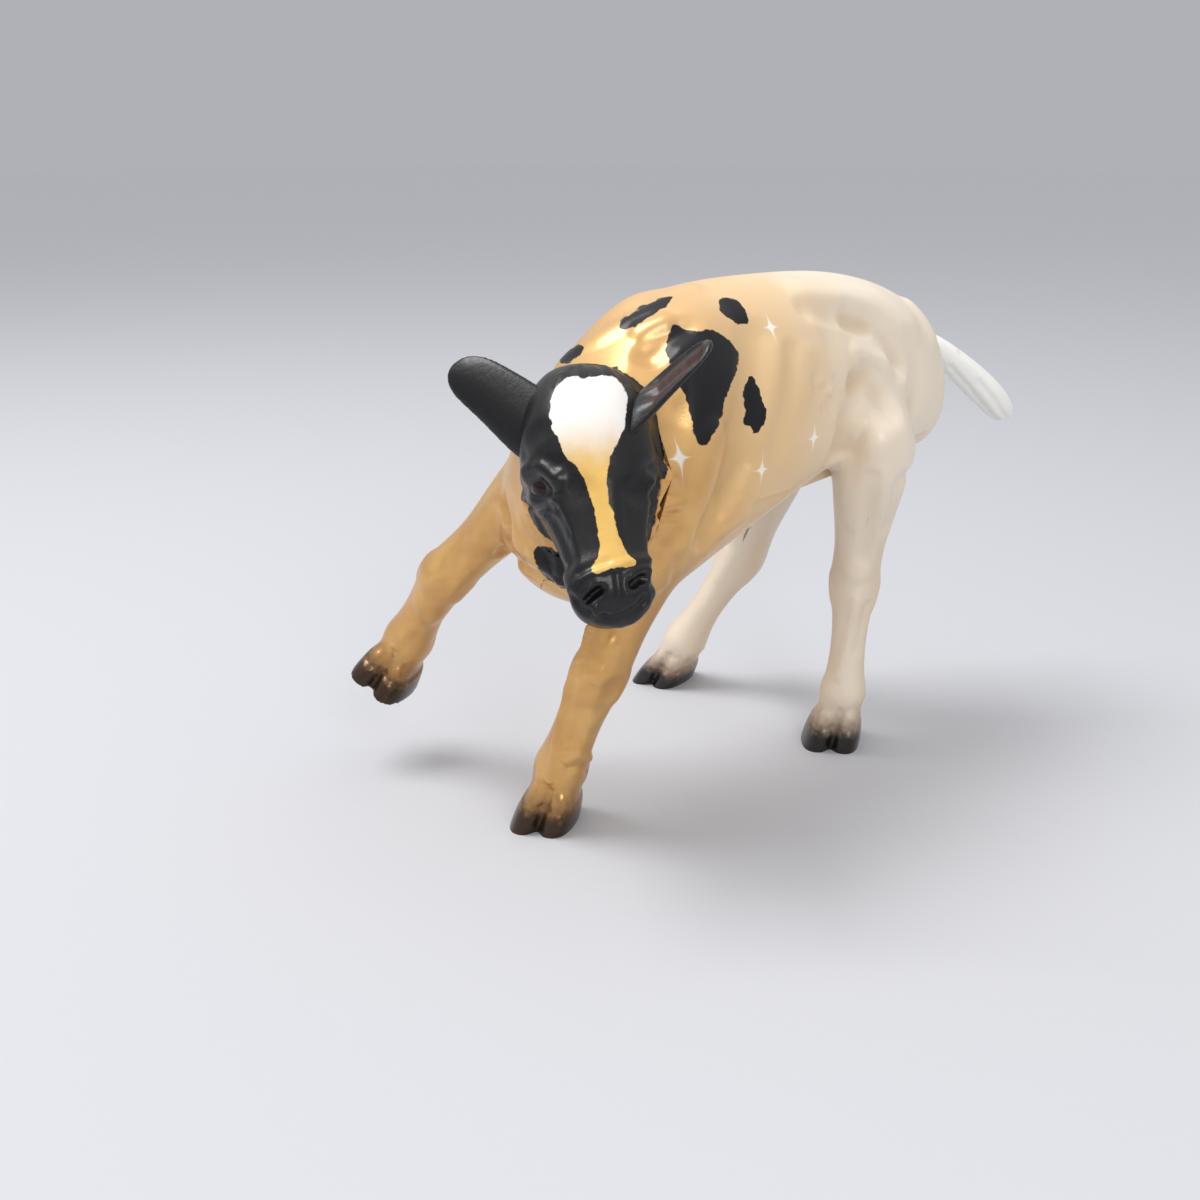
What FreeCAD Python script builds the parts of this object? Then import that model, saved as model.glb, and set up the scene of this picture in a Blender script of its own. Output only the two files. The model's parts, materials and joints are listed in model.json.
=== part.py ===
"""Calf figurine, moulded in parts that are bonded together and painted.

The calf crouches and turns its head to its left. It stands on its left foreleg and both hind
legs, and its right foreleg is lifted. It faces -Y, its left side is +X and +Z is up. The origin
lies on the floor under the middle of the figure. Lengths are in millimetres, angles in degrees.

The torso is two hollow shells, parted along the spine and located by moulded studs in sockets.
The head is two hollow shells parted down the face, whose collar plugs into the neck. Each lower
leg is an outer and an inner half, parted along the shin and through the cleft of the hoof, with a
spigot that plugs into the torso. The ears and the tail have root plugs. Nothing moves.
"""
import FreeCAD
import Part
import math
import os
from FreeCAD import Placement, Rotation, Vector

# Driving sizes: alias, value, meaning
SIZES = [
    ("trunk_length", 100.0, "pin bones to the front of the chest, and the measure of places along the body"),
    ("back_height", 85.0, "floor to the highest point of the loin"),
    ("chest_depth", 44.0, "withers to breastbone"),
    ("barrel_width", 31.0, "widest part of the ribs"),
    ("shell_wall", 2.2, "wall of the hollow mouldings"),
    ("head_length", 34.0, "poll to muzzle along the face"),
    ("head_width", 19.5, "over the eyes"),
    ("head_depth", 18.0, "forehead to jaw"),
    ("ear_length", 14.0, "root to tip"),
    ("ear_breadth", 7.4, "widest part of the ear"),
    ("ear_thickness", 3.0, "ear across its cup"),
    ("ear_cup_depth", 1.5, "depth of the hollow in the ear"),
    ("tail_thickness", 6.0, "thickest part of the tail switch"),
    ("knee_thickness", 9.0, "knee of the foreleg, side to side"),
    ("hock_thickness", 8.8, "hock of the hind leg, side to side"),
    ("hoof_length", 13.0, "toe to heel"),
    ("hoof_width", 10.4, "over both claws"),
    ("cleft_height", 5.2, "sole to the top of the cleft"),
    ("cleft_toe_gap", 1.8, "width of the cleft at the toe"),
    ("cleft_heel_gap", 0.45, "width of the cleft at its back end"),
    ("cleft_front", 9.8, "how far the cleft is cut in front of the middle of the hoof"),
    ("cleft_back", 3.2, "how far it is cut behind the middle"),
    ("dewclaw_root", 1.5, "radius of a dewclaw at its root"),
    ("dewclaw_tip", 0.6, "radius of a dewclaw at its tip"),
    ("dewclaw_length", 2.4, "root to tip of a dewclaw"),
    ("stud_diameter", 2.0, "locating studs between the torso shells"),
    ("stud_reach", 2.5, "how far a stud enters its socket"),
    ("boss_diameter", 5.0, "moulded boss that carries a stud or its socket"),
    ("spigot_diameter", 3.6, "spigot on top of each lower leg"),
    ("spigot_length", 4.0, "height of that spigot"),
    ("plug_diameter", 2.4, "root plugs of the ears and the tail"),
    ("plug_length", 3.0, "how far a root plug enters its socket"),
    ("collar_length", 3.0, "how far the head's collar enters the neck"),
    ("bond_gap", 0.1, "gap for the bond round a stud, spigot, plug or collar"),
    ("overrun", 90.0, "how far a parting block runs past the figure"),
]

# Sides of the sections that each form is drawn through
TORSO_SIDES = 20
HEAD_SIDES = 16
LEG_SIDES = 12
EAR_SIDES = 10
TAIL_SIDES = 10

# Torso stations from rump to throat: along, top, depth, width, across, climb, turn, taper, box.
# The first is a share of trunk_length, then of back_height, chest_depth, barrel_width twice.
# Climb and turn are the degrees by which the body's axis rises and turns left at the station.
TORSO_SHARES = [
    (0.510, 0.800, 0.32, 0.30, 0.13, 0, 0, 0.00, 0.00),
    (0.485, 0.860, 0.46, 0.56, 0.13, 0, 0, 0.05, 0.10),
    (0.430, 0.918, 0.60, 0.76, 0.12, 0, 0, 0.05, 0.15),
    (0.340, 0.970, 0.73, 0.88, 0.10, 0, 0, 0.05, 0.15),
    (0.220, 0.998, 0.74, 0.87, 0.08, 0, 0, 0.08, 0.10),
    (0.100, 1.000, 0.81, 0.95, 0.06, 0, 0, 0.12, 0.10),
    (-0.020, 1.000, 0.90, 1.00, 0.05, 0, 0, 0.14, 0.10),
    (-0.140, 0.988, 0.98, 0.99, 0.03, 0, 0, 0.18, 0.10),
    (-0.205, 0.952, 0.96, 1.02, 0.01, 6, 0, 0.20, 0.20),
    (-0.250, 0.905, 0.88, 1.04, 0.00, 12, 0, 0.18, 0.20),
    (-0.290, 0.868, 0.74, 0.96, 0.04, 16, 6, 0.15, 0.15),
    (-0.318, 0.852, 0.60, 0.80, 0.11, 18, 14, 0.08, 0.05),
    (-0.345, 0.840, 0.46, 0.62, 0.19, 20, 22, 0.00, 0.00),
]
TORSO_CAVITY_START = 2

# Back of the head's neck piece: how far it tapers, and how far it reaches into the head as a
# share of head_depth
NAPE_TAPER_SHARE = 0.75
NAPE_REACH_SHARE = 0.35

# Head stations from behind the poll to the nose: along, brow, jaw, width.
# They are shares of head_length, head_depth twice and head_width.
HEAD_SHARES = [
    (-0.09, -0.16, 0.50, 0.42),
    (0.00, 0.03, 0.76, 0.74),
    (0.14, 0.14, 0.93, 0.93),
    (0.31, 0.14, 0.99, 1.00),
    (0.50, 0.05, 0.90, 0.84),
    (0.68, -0.01, 0.76, 0.66),
    (0.83, -0.02, 0.69, 0.63),
    (0.94, -0.06, 0.64, 0.58),
    (1.01, -0.18, 0.50, 0.38),
]
# Poll, as shares of barrel_width, trunk_length and back_height
POLL_SHARES = (0.22, -0.372, 0.878)
HEAD_TURN = 52
HEAD_NOD = 52
# The head is broader at the brow than at the jaw
HEAD_TAPER_SHARE = -0.12
HEAD_CAVITY_STATIONS = (1, 7)

# Places on each leg as shares of barrel_width, trunk_length and back_height, in the order sole,
# fetlock, knee or hock, elbow or stifle, and the end inside the torso
LEGS = {
    "foreleg_left": {"toes": 30, "planted": True, "front": True, "place_shares": [
        (-0.23, -0.327, 0.000), (-0.09, -0.337, 0.124), (0.17, -0.332, 0.339),
        (0.31, -0.270, 0.553), (0.27, -0.200, 0.720)]},
    "foreleg_right": {"toes": 24, "planted": False, "front": True, "place_shares": [
        (-1.42, -0.366, 0.176), (-1.27, -0.345, 0.275), (-0.90, -0.347, 0.444),
        (-0.45, -0.300, 0.600), (-0.28, -0.240, 0.760)]},
    "hindleg_left": {"toes": 35, "planted": True, "front": False, "place_shares": [
        (0.24, 0.262, 0.000), (0.35, 0.246, 0.124), (0.31, 0.280, 0.353),
        (0.40, 0.270, 0.640), (0.30, 0.330, 0.800)]},
    "hindleg_right": {"toes": 12, "planted": True, "front": False, "place_shares": [
        (-1.15, 0.289, 0.000), (-0.94, 0.270, 0.118), (-0.60, 0.310, 0.335),
        (-0.22, 0.270, 0.630), (-0.05, 0.330, 0.800)]},
}
# Girth of a leg from sole to top: place, forward, depth, width, lean, basis. The place counts the
# joints passed. Forward, depth and width are shares: of hoof_length, hoof_length and hoof_width
# on the hoof, of the knee or hock thickness above it. Lean is the share of the leg's lean.
FORE_GIRTH_SHARES = [
    (0.00, 0.10, 1.00, 1.00, 0.0, "hoof"),
    (0.30, 0.07, 0.93, 1.00, 0.3, "hoof"),
    (0.55, 0.03, 0.78, 0.92, 0.6, "hoof"),
    (0.78, 0.00, 0.92, 0.88, 0.9, "limb"),
    (1.00, -0.05, 1.08, 1.04, 1.0, "limb"),
    (1.40, 0.00, 0.84, 0.76, 1.0, "limb"),
    (1.72, 0.02, 0.86, 0.78, 1.0, "limb"),
    (2.00, 0.05, 1.05, 1.00, 1.0, "limb"),
    (2.35, -0.02, 1.04, 0.93, 1.0, "limb"),
    (2.65, -0.08, 1.30, 1.08, 0.9, "limb"),
    (3.10, -0.10, 1.90, 1.50, 0.5, "limb"),
    (4.00, 0.00, 1.90, 1.20, 0.0, "limb"),
]
HIND_GIRTH_SHARES = [
    (0.00, 0.10, 1.00, 0.97, 0.0, "hoof"),
    (0.30, 0.07, 0.93, 0.97, 0.3, "hoof"),
    (0.55, 0.03, 0.78, 0.90, 0.6, "hoof"),
    (0.78, 0.00, 0.96, 0.86, 0.9, "limb"),
    (1.00, -0.05, 1.04, 0.96, 1.0, "limb"),
    (1.40, 0.00, 0.84, 0.72, 1.0, "limb"),
    (1.75, -0.05, 0.98, 0.76, 1.0, "limb"),
    (2.00, -0.12, 1.32, 0.98, 1.0, "limb"),
    (2.30, -0.05, 1.30, 0.95, 1.0, "limb"),
    (2.60, 0.05, 1.85, 1.30, 0.8, "limb"),
    (3.00, 0.10, 2.90, 1.60, 0.4, "limb"),
    (3.50, 0.10, 3.10, 1.50, 0.2, "limb"),
    (4.00, 0.05, 2.60, 1.10, 0.0, "limb"),
]
# Where the lower leg parts from the torso, counted in joints passed
FORE_PARTING = 2.55
HIND_PARTING = 2.60
# Dewclaws: joints passed, distance behind and beside the leg's line as shares of its thickness,
# and the angle by which they droop
DEWCLAW_PLACE = 0.95
DEWCLAW_BACK_SHARE = 0.36
DEWCLAW_SIDE_SHARE = 0.24
DEWCLAW_DROOP = 40

# Tail from root to tip: across, along, height, girth, as shares of barrel_width, trunk_length,
# back_height and tail_thickness
TAIL_SHARES = [
    (0.16, 0.470, 0.840, 0.62),
    (0.24, 0.515, 0.825, 0.66),
    (0.32, 0.550, 0.790, 0.76),
    (0.40, 0.590, 0.745, 0.92),
    (0.47, 0.622, 0.705, 1.00),
    (0.52, 0.643, 0.675, 0.84),
    (0.55, 0.653, 0.660, 0.36),
]

# Point inside the torso that the tail's root plug aims at
TAIL_SEAT_SHARES = (0.12, 0.30, 0.80)

# Ears: side, place of the root on the head as shares of head_length and head_depth, and the
# direction of the ear as its turn from the calf's front towards its left and its rise
EARS = {
    "ear_left": {"side": 1, "root_shares": (0.09, 0.14, 0.38), "turn": 102, "rise": 37,
                 "opening_shares": (0.45, 0.90)},
    "ear_right": {"side": -1, "root_shares": (0.04, 0.22, 0.36), "turn": -70, "rise": 10,
                  "opening_shares": (-0.80, -0.20)},
}
# Ear from root to tip: along, breadth, thickness, as shares of the ear's sizes
EAR_SHARES = [
    (0.00, 0.46, 0.95),
    (0.20, 0.62, 1.00),
    (0.45, 0.98, 0.95),
    (0.70, 0.92, 0.80),
    (0.90, 0.55, 0.60),
    (1.00, 0.18, 0.35),
]

# Breadth of the ear's hollow as a share of the ear's
EAR_CUP_SHARE = 0.74

# Studs between the torso shells: along as a share of trunk_length, and how deep each sits below
# the spine as a share of the trunk's depth there
STUD_SHARES = [(0.34, 0.29), (0.02, 0.27), (0.04, 0.88)]
PARTING_PLANE_SHARE = 0.08
PARTING_BEND_SHARE = -0.20
PARTING_BEND_RADIUS_SHARE = 0.42
PARTING_BEND_ANGLE = 60

doc = FreeCAD.newDocument("CalfFigurine")
sheet = doc.addObject("Spreadsheet::Sheet", "Sizes")
for row, (alias, value, meaning) in enumerate(SIZES, start=1):
    sheet.set("A%d" % row, alias)
    sheet.set("B%d" % row, str(value))
    sheet.set("C%d" % row, meaning)
    sheet.setAlias("B%d" % row, alias)
doc.recompute()


def size(alias):
    """Value of a driving size."""
    return float(sheet.get(alias))


def body_place(across_share, along_share, height_share):
    """Point of the figure from shares of its width, length and height."""
    return Vector(across_share * size("barrel_width"),
                  along_share * size("trunk_length"),
                  height_share * size("back_height"))


def heading(turn):
    """Level direction that turns from the calf's front towards its left."""
    angle = math.radians(turn)
    return Vector(math.sin(angle), -math.cos(angle), 0)


def leftward(turn):
    """Level direction to the left of a heading."""
    angle = math.radians(turn)
    return Vector(math.cos(angle), math.sin(angle), 0)


def tilted(first, second, angle):
    """First direction turned towards the second by an angle in degrees."""
    return first * math.cos(math.radians(angle)) + second * math.sin(math.radians(angle))


def frame(x_axis, y_axis, z_axis):
    """Rotation with the given axes."""
    return Rotation(x_axis, y_axis, z_axis, "ZXY")


def feature(name, shape):
    """Document object that holds a computed shape."""
    item = doc.addObject("Part::Feature", name)
    item.Shape = shape
    return item


def bound(kind, name, placement=None, **expressions):
    """Part primitive whose sizes are bound to the sheet."""
    item = doc.addObject(kind, name)
    for prop, text in expressions.items():
        item.setExpression(prop, text)
    if placement is not None:
        item.Placement = placement
    return item


def boolean(kind, name, base, tool):
    """Cut or common of two objects."""
    item = doc.addObject(kind, name)
    item.Base = base
    item.Tool = tool
    return item


def fuse(name, items):
    """Union of several objects."""
    item = doc.addObject("Part::MultiFuse", name)
    item.Shapes = items
    return item


def skin(name, rings):
    """Solid under a skin of flat facets drawn over rings that have equally many points.

    Each gap between two rings is cut along the diagonal that stands further out, so the skin
    stays full.
    """
    faces = [Part.Face(Part.makePolygon(end + end[:1])) for end in (rings[0], rings[-1])]
    for lower, upper in zip(rings, rings[1:]):
        middle = (lower[0] + lower[len(lower) // 2] + upper[0] + upper[len(upper) // 2]) / 4
        corners = zip(lower, lower[1:] + lower[:1], upper[1:] + upper[:1], upper)
        for a, b, c, d in corners:
            across = ((a + c) / 2 - middle).Length > ((b + d) / 2 - middle).Length
            for facet in ((a, b, c), (a, c, d)) if across else ((a, b, d), (b, c, d)):
                faces.append(Part.Face(Part.makePolygon(facet + facet[:1])))
    shell = Part.makeShell(faces)
    shell.sewShape()
    return feature(name, Part.makeSolid(shell))


def cylinder(name, start, direction, radius, height):
    """Cylinder from a point along a direction, its radius and height as sheet expressions."""
    turn = Rotation(Vector(0, 0, 1), direction)
    return bound("Part::Cylinder", name, Placement(start, turn), Radius=radius, Height=height)


def half_space(name, point, normal):
    """Block whose face lies at a point, on the side that the normal shows."""
    reach = size("overrun")
    turn = Rotation(Vector(0, 0, 1), normal)
    corner = point + turn.multVec(Vector(-reach, -reach, 0))
    return bound("Part::Box", name, Placement(corner, turn),
                 Length="Sizes.overrun * 2", Width="Sizes.overrun * 2", Height="Sizes.overrun")


def ring(centre, sideways, upward, half_width, rise, sides, taper=0, box=0):
    """Oval section round a centre: narrower at the top with taper, flatter sides with box."""
    points = []
    for step in range(sides):
        angle = math.tau * step / sides
        side = math.copysign(abs(math.cos(angle)) ** (1 - box), math.cos(angle))
        lift = math.copysign(abs(math.sin(angle)) ** (1 - box), math.sin(angle))
        points.append(centre + sideways * (half_width * side * (1 - taper * lift))
                      + upward * (rise * lift))
    return points


def torso_station(number, inset=0, shift=0, scale=1):
    """Ring of one torso station, scaled, drawn in by an inset and moved along the body's axis."""
    along, top, depth, width, across, climb, turn, taper, box = TORSO_SHARES[number]
    rise = depth * size("chest_depth") / 2
    half_width = width * size("barrel_width") / 2
    upward = tilted(Vector(0, 0, 1), heading(turn), -climb)
    forward = tilted(heading(turn), Vector(0, 0, 1), climb)
    centre = body_place(across, along, top) - upward * rise + forward * shift
    return ring(centre, leftward(turn), upward, half_width * scale - inset, rise * scale - inset,
                TORSO_SIDES, taper, box)


def trunk_seat(along, down):
    """Point on the parting plane, a share of the trunk's depth below the spine."""
    for behind, ahead in zip(TORSO_SHARES, TORSO_SHARES[1:]):
        if ahead[0] <= along <= behind[0]:
            blend = (behind[0] - along) / (behind[0] - ahead[0])
            top, depth = (behind[n] + (ahead[n] - behind[n]) * blend for n in (1, 2))
    height = top * size("back_height") - down * depth * size("chest_depth")
    return Vector(PARTING_PLANE_SHARE * size("barrel_width"), along * size("trunk_length"), height)


def parting_block(name, side):
    """Block on one side of the parting line, which follows the spine and bends into the neck."""
    reach = size("overrun")
    plane = PARTING_PLANE_SHARE * size("barrel_width")
    bend = PARTING_BEND_SHARE * size("trunk_length")
    radius = PARTING_BEND_RADIUS_SHARE * size("trunk_length")
    pivot = Vector(plane + radius, bend, 0)
    back = Vector(plane, reach, 0)
    start = Vector(plane, bend, 0)
    half = pivot - leftward(PARTING_BEND_ANGLE / 2) * radius
    end = pivot - leftward(PARTING_BEND_ANGLE) * radius
    out = end + heading(PARTING_BEND_ANGLE) * reach
    corner = Vector(side * reach * 2, out.y, 0)
    far = Vector(corner.x, reach, 0)
    edges = [Part.LineSegment(back, start).toShape(), Part.Arc(start, half, end).toShape(),
             Part.LineSegment(end, out).toShape(), Part.LineSegment(out, corner).toShape(),
             Part.LineSegment(corner, far).toShape(), Part.LineSegment(far, back).toShape()]
    block = doc.addObject("Part::Extrusion", name)
    block.Base = feature(name + "_outline", Part.Wire(edges))
    block.DirMode = "Custom"
    block.Dir = Vector(0, 0, 1)
    block.setExpression("LengthFwd", "Sizes.overrun * 2")
    block.setExpression("LengthRev", "Sizes.overrun")
    block.Solid = True
    return block


def leg_point(leg, place):
    """Point on a leg's line of joints, the place counted in joints passed."""
    joints = [body_place(*shares) for shares in leg["place_shares"]]
    lower = min(int(place), len(joints) - 2)
    return joints[lower] + (joints[lower + 1] - joints[lower]) * (place - lower)


def leg_lean(leg):
    """Angle by which a leg's cannon leans to the calf's left of upright."""
    shank = leg_point(leg, 2) - leg_point(leg, 0)
    return math.degrees(math.atan2(shank.dot(leftward(leg["toes"])), shank.z))


def leg_upright(leg, lean_share):
    """Direction up the leg, leaned by a share of its lean."""
    return tilted(Vector(0, 0, 1), leftward(leg["toes"]), leg_lean(leg) * lean_share)


def leg_side(leg):
    """Direction square to the leg's parting plane, towards the calf's left."""
    return tilted(leftward(leg["toes"]), Vector(0, 0, 1), -leg_lean(leg))


def leg_form(name, leg):
    """Whole leg from the sole into the torso."""
    front = heading(leg["toes"])
    limb = "knee_thickness" if leg["front"] else "hock_thickness"
    rings = []
    for place, forward, depth, width, lean_share, basis in (
            FORE_GIRTH_SHARES if leg["front"] else HIND_GIRTH_SHARES):
        long_size, wide_size = ("hoof_length", "hoof_width") if basis == "hoof" else (limb, limb)
        if not leg["planted"] and place < 1:
            lean_share = 1
        upright = leg_upright(leg, lean_share)
        centre = leg_point(leg, place) + front * (forward * size(long_size))
        rings.append(ring(centre, upright.cross(front), front, width * size(wide_size) / 2,
                          depth * size(long_size) / 2, LEG_SIDES))
    return skin(name + "_form", rings)


def cleft(name, leg):
    """Wedge between the claws, wide at the toe, along the leg's parting plane."""
    upright = leg_upright(leg, 1)
    side = leg_side(leg)
    turn = frame(side, heading(leg["toes"]), side.cross(heading(leg["toes"])))
    base = leg_point(leg, 0)
    return bound("Part::Wedge", name + "_cleft", Placement(base, turn),
                 Xmin="Sizes.cleft_heel_gap / -2", Xmax="Sizes.cleft_heel_gap / 2",
                 X2min="Sizes.cleft_toe_gap / -2", X2max="Sizes.cleft_toe_gap / 2",
                 Ymin="-Sizes.cleft_back", Ymax="Sizes.cleft_front",
                 Zmin="-Sizes.cleft_height", Zmax="Sizes.cleft_height",
                 Z2min="-Sizes.cleft_height", Z2max="Sizes.cleft_height")


def dewclaws(name, leg):
    """Two small cones behind the fetlock, one each side of the parting plane."""
    limb = size("knee_thickness" if leg["front"] else "hock_thickness")
    back = heading(leg["toes"]) * -1
    down = leg_upright(leg, 1) * -1
    claws = []
    for sign in (-1, 1):
        root = (leg_point(leg, DEWCLAW_PLACE) + back * (limb * DEWCLAW_BACK_SHARE)
                + leg_side(leg) * (sign * limb * DEWCLAW_SIDE_SHARE))
        turn = Rotation(Vector(0, 0, 1), tilted(back, down, DEWCLAW_DROOP))
        claws.append(bound("Part::Cone", "%s_dewclaw_%d" % (name, sign + 1), Placement(root, turn),
                           Radius1="Sizes.dewclaw_root", Radius2="Sizes.dewclaw_tip",
                           Height="Sizes.dewclaw_length"))
    return claws


def parting_point(leg):
    """Where the lower leg parts from the torso."""
    return leg_point(leg, FORE_PARTING if leg["front"] else HIND_PARTING)


forms = {name: leg_form(name, leg) for name, leg in LEGS.items()}
uppers = [boolean("Part::Common", name + "_upper", forms[name],
                  half_space(name + "_above", parting_point(leg), leg_upright(leg, 1)))
          for name, leg in LEGS.items()]

torso_form = skin("torso_form", [torso_station(n) for n in range(len(TORSO_SHARES))])
torso_limbed = fuse("torso_limbed", [torso_form] + uppers)
lowers = {name: boolean("Part::Common", name + "_lower", forms[name],
                        half_space(name + "_below", parting_point(leg), leg_upright(leg, 1) * -1))
          for name, leg in LEGS.items()}
torso_outer = boolean("Part::Cut", "torso_outer", torso_limbed, fuse("legs", list(lowers.values())))

wall = size("shell_wall")
torso_cavity = skin("torso_cavity", [torso_station(n, wall)
                                     for n in range(TORSO_CAVITY_START, len(TORSO_SHARES))]
                    + [torso_station(-1, wall, wall)])
torso_hollow = boolean("Part::Cut", "torso_hollow", torso_outer, torso_cavity)
boss_limit = skin("boss_limit", [torso_station(n, wall / 2) for n in range(1, len(TORSO_SHARES))])

bosses = []
studs = []
stud_sockets = []
for number, (along, down) in enumerate(STUD_SHARES):
    seat = trunk_seat(along, down)
    for label, outward in (("left", Vector(1, 0, 0)), ("right", Vector(-1, 0, 0))):
        bosses.append(cylinder("stud_boss_%s_%d" % (label, number), seat, outward,
                               "Sizes.boss_diameter / 2", "Sizes.barrel_width"))
    inside = seat + Vector(size("stud_reach"), 0, 0)
    studs.append(cylinder("stud_%d" % number, inside, Vector(-1, 0, 0),
                          "Sizes.stud_diameter / 2", "Sizes.stud_reach * 2"))
    stud_sockets.append(cylinder("stud_socket_%d" % number, inside, Vector(-1, 0, 0),
                                 "Sizes.stud_diameter / 2 + Sizes.bond_gap",
                                 "Sizes.stud_reach * 2 + Sizes.bond_gap"))

spigots = {}
leg_sockets = {}
for name, leg in LEGS.items():
    seat = parting_point(leg)
    upright = leg_upright(leg, 1)
    below = seat - upright * size("spigot_length")
    bosses.append(cylinder(name + "_boss", seat, upright,
                           "Sizes.spigot_diameter / 2 + Sizes.shell_wall",
                           "Sizes.spigot_length + Sizes.shell_wall"))
    spigots[name] = cylinder(name + "_spigot", below, upright,
                             "Sizes.spigot_diameter / 2", "Sizes.spigot_length * 2")
    leg_sockets[name] = cylinder(name + "_socket", below, upright,
                                 "Sizes.spigot_diameter / 2 + Sizes.bond_gap",
                                 "Sizes.spigot_length * 2 + Sizes.bond_gap")


def along_direction(start, end):
    """Unit direction between two points."""
    return (end - start).normalize()


tail_points = [body_place(across, along, height) for across, along, height, girth in TAIL_SHARES]
tail_rings = []
for number, (across, along, height, girth) in enumerate(TAIL_SHARES):
    before = tail_points[max(number - 1, 0)]
    after = tail_points[min(number + 1, len(tail_points) - 1)]
    turn = Rotation(Vector(0, 0, 1), along_direction(before, after))
    radius = girth * size("tail_thickness") / 2
    tail_rings.append(ring(tail_points[number], turn.multVec(Vector(1, 0, 0)),
                           turn.multVec(Vector(0, 1, 0)), radius, radius, TAIL_SIDES))
tail_form = skin("tail_form", tail_rings)
tail_visible = boolean("Part::Cut", "tail_visible", tail_form, torso_outer)
tail_root = tail_points[1]
tail_inward = along_direction(tail_points[1], body_place(*TAIL_SEAT_SHARES))
tail_start = tail_root - tail_inward * size("plug_length")
tail_plug = cylinder("tail_plug", tail_start, tail_inward,
                     "Sizes.plug_diameter / 2", "Sizes.plug_length * 3")
tail_socket = cylinder("tail_socket", tail_start, tail_inward,
                       "Sizes.plug_diameter / 2 + Sizes.bond_gap",
                       "Sizes.plug_length * 3 + Sizes.bond_gap")
tail_piece = fuse("tail_piece", [tail_visible, tail_plug])
bosses.append(cylinder("tail_boss", tail_root, tail_inward,
                       "Sizes.plug_diameter / 2 + Sizes.shell_wall",
                       "Sizes.plug_length * 2 + Sizes.shell_wall"))

torso_bosses = boolean("Part::Common", "torso_bosses", fuse("all_bosses", bosses), boss_limit)
torso_ribbed = fuse("torso_ribbed", [torso_hollow, torso_bosses])
left_half = boolean("Part::Common", "left_half", torso_ribbed, parting_block("left_block", 1))
right_half = boolean("Part::Common", "right_half", torso_ribbed, parting_block("right_block", -1))
left_bored = boolean("Part::Cut", "left_bored", left_half, fuse("left_sockets", [
    leg_sockets["foreleg_left"], leg_sockets["hindleg_left"], tail_socket]))
left_shell = fuse("left_shell", [left_bored] + studs)
right_shell = boolean("Part::Cut", "right_shell", right_half, fuse("right_sockets", [
    leg_sockets["foreleg_right"], leg_sockets["hindleg_right"], tail_socket] + stud_sockets))

nodes = {"torso_shell_left": left_shell, "torso_shell_right": right_shell, "tail": tail_piece}
for name, leg in LEGS.items():
    whole = fuse(name + "_whole", [lowers[name], spigots[name]] + dewclaws(name, leg))
    cloven = boolean("Part::Cut", name + "_cloven", whole, cleft(name, leg))
    for label, sign in (("left", 1), ("right", -1)):
        outward = "outer" if name.endswith(label) else "inner"
        side_block = half_space("%s_%s_block" % (name, outward), leg_point(leg, 0),
                                leg_side(leg) * sign)
        nodes["%s_%s" % (name, outward)] = boolean(
            "Part::Common", "%s_%s_half" % (name, outward), cloven, side_block)

poll = body_place(*POLL_SHARES)
face = heading(HEAD_TURN)
head_left = leftward(HEAD_TURN)
muzzleward = tilted(face, Vector(0, 0, -1), HEAD_NOD)
browward = tilted(Vector(0, 0, 1), face, HEAD_NOD)


def head_station(number, inset):
    """Ring of one head station."""
    along, brow, jaw, width = HEAD_SHARES[number]
    depth = size("head_depth")
    centre = (poll + muzzleward * (along * size("head_length"))
              + browward * ((brow - jaw) / 2 * depth))
    return ring(centre, head_left, browward, width * size("head_width") / 2 - inset,
                (brow + jaw) / 2 * depth - inset, HEAD_SIDES, HEAD_TAPER_SHARE)


head_form = skin("head_form", [head_station(n, 0) for n in range(len(HEAD_SHARES))])
head_cavity = skin("head_cavity", [head_station(n, wall) for n in range(*HEAD_CAVITY_STATIONS)])
nape_reach = NAPE_REACH_SHARE * size("head_depth")
nape = skin("nape", [torso_station(-1), torso_station(-1, 0, nape_reach, NAPE_TAPER_SHARE)])
collar_inset = wall + size("bond_gap")
collar = skin("collar", [torso_station(-1, collar_inset, -size("collar_length")),
                         torso_station(-1, collar_inset, wall)])
throat = torso_station(-1, 0, wall)
neck_forward = (torso_station(-1, 0, nape_reach)[0] - torso_station(-1)[0]).normalize()
head_clear = boolean("Part::Cut", "head_clear", head_form, torso_outer)
face_cavity = boolean("Part::Common", "face_cavity", head_cavity,
                      half_space("face_side", throat[0], neck_forward))
head_hollow = boolean("Part::Cut", "head_hollow", head_clear, face_cavity)

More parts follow.
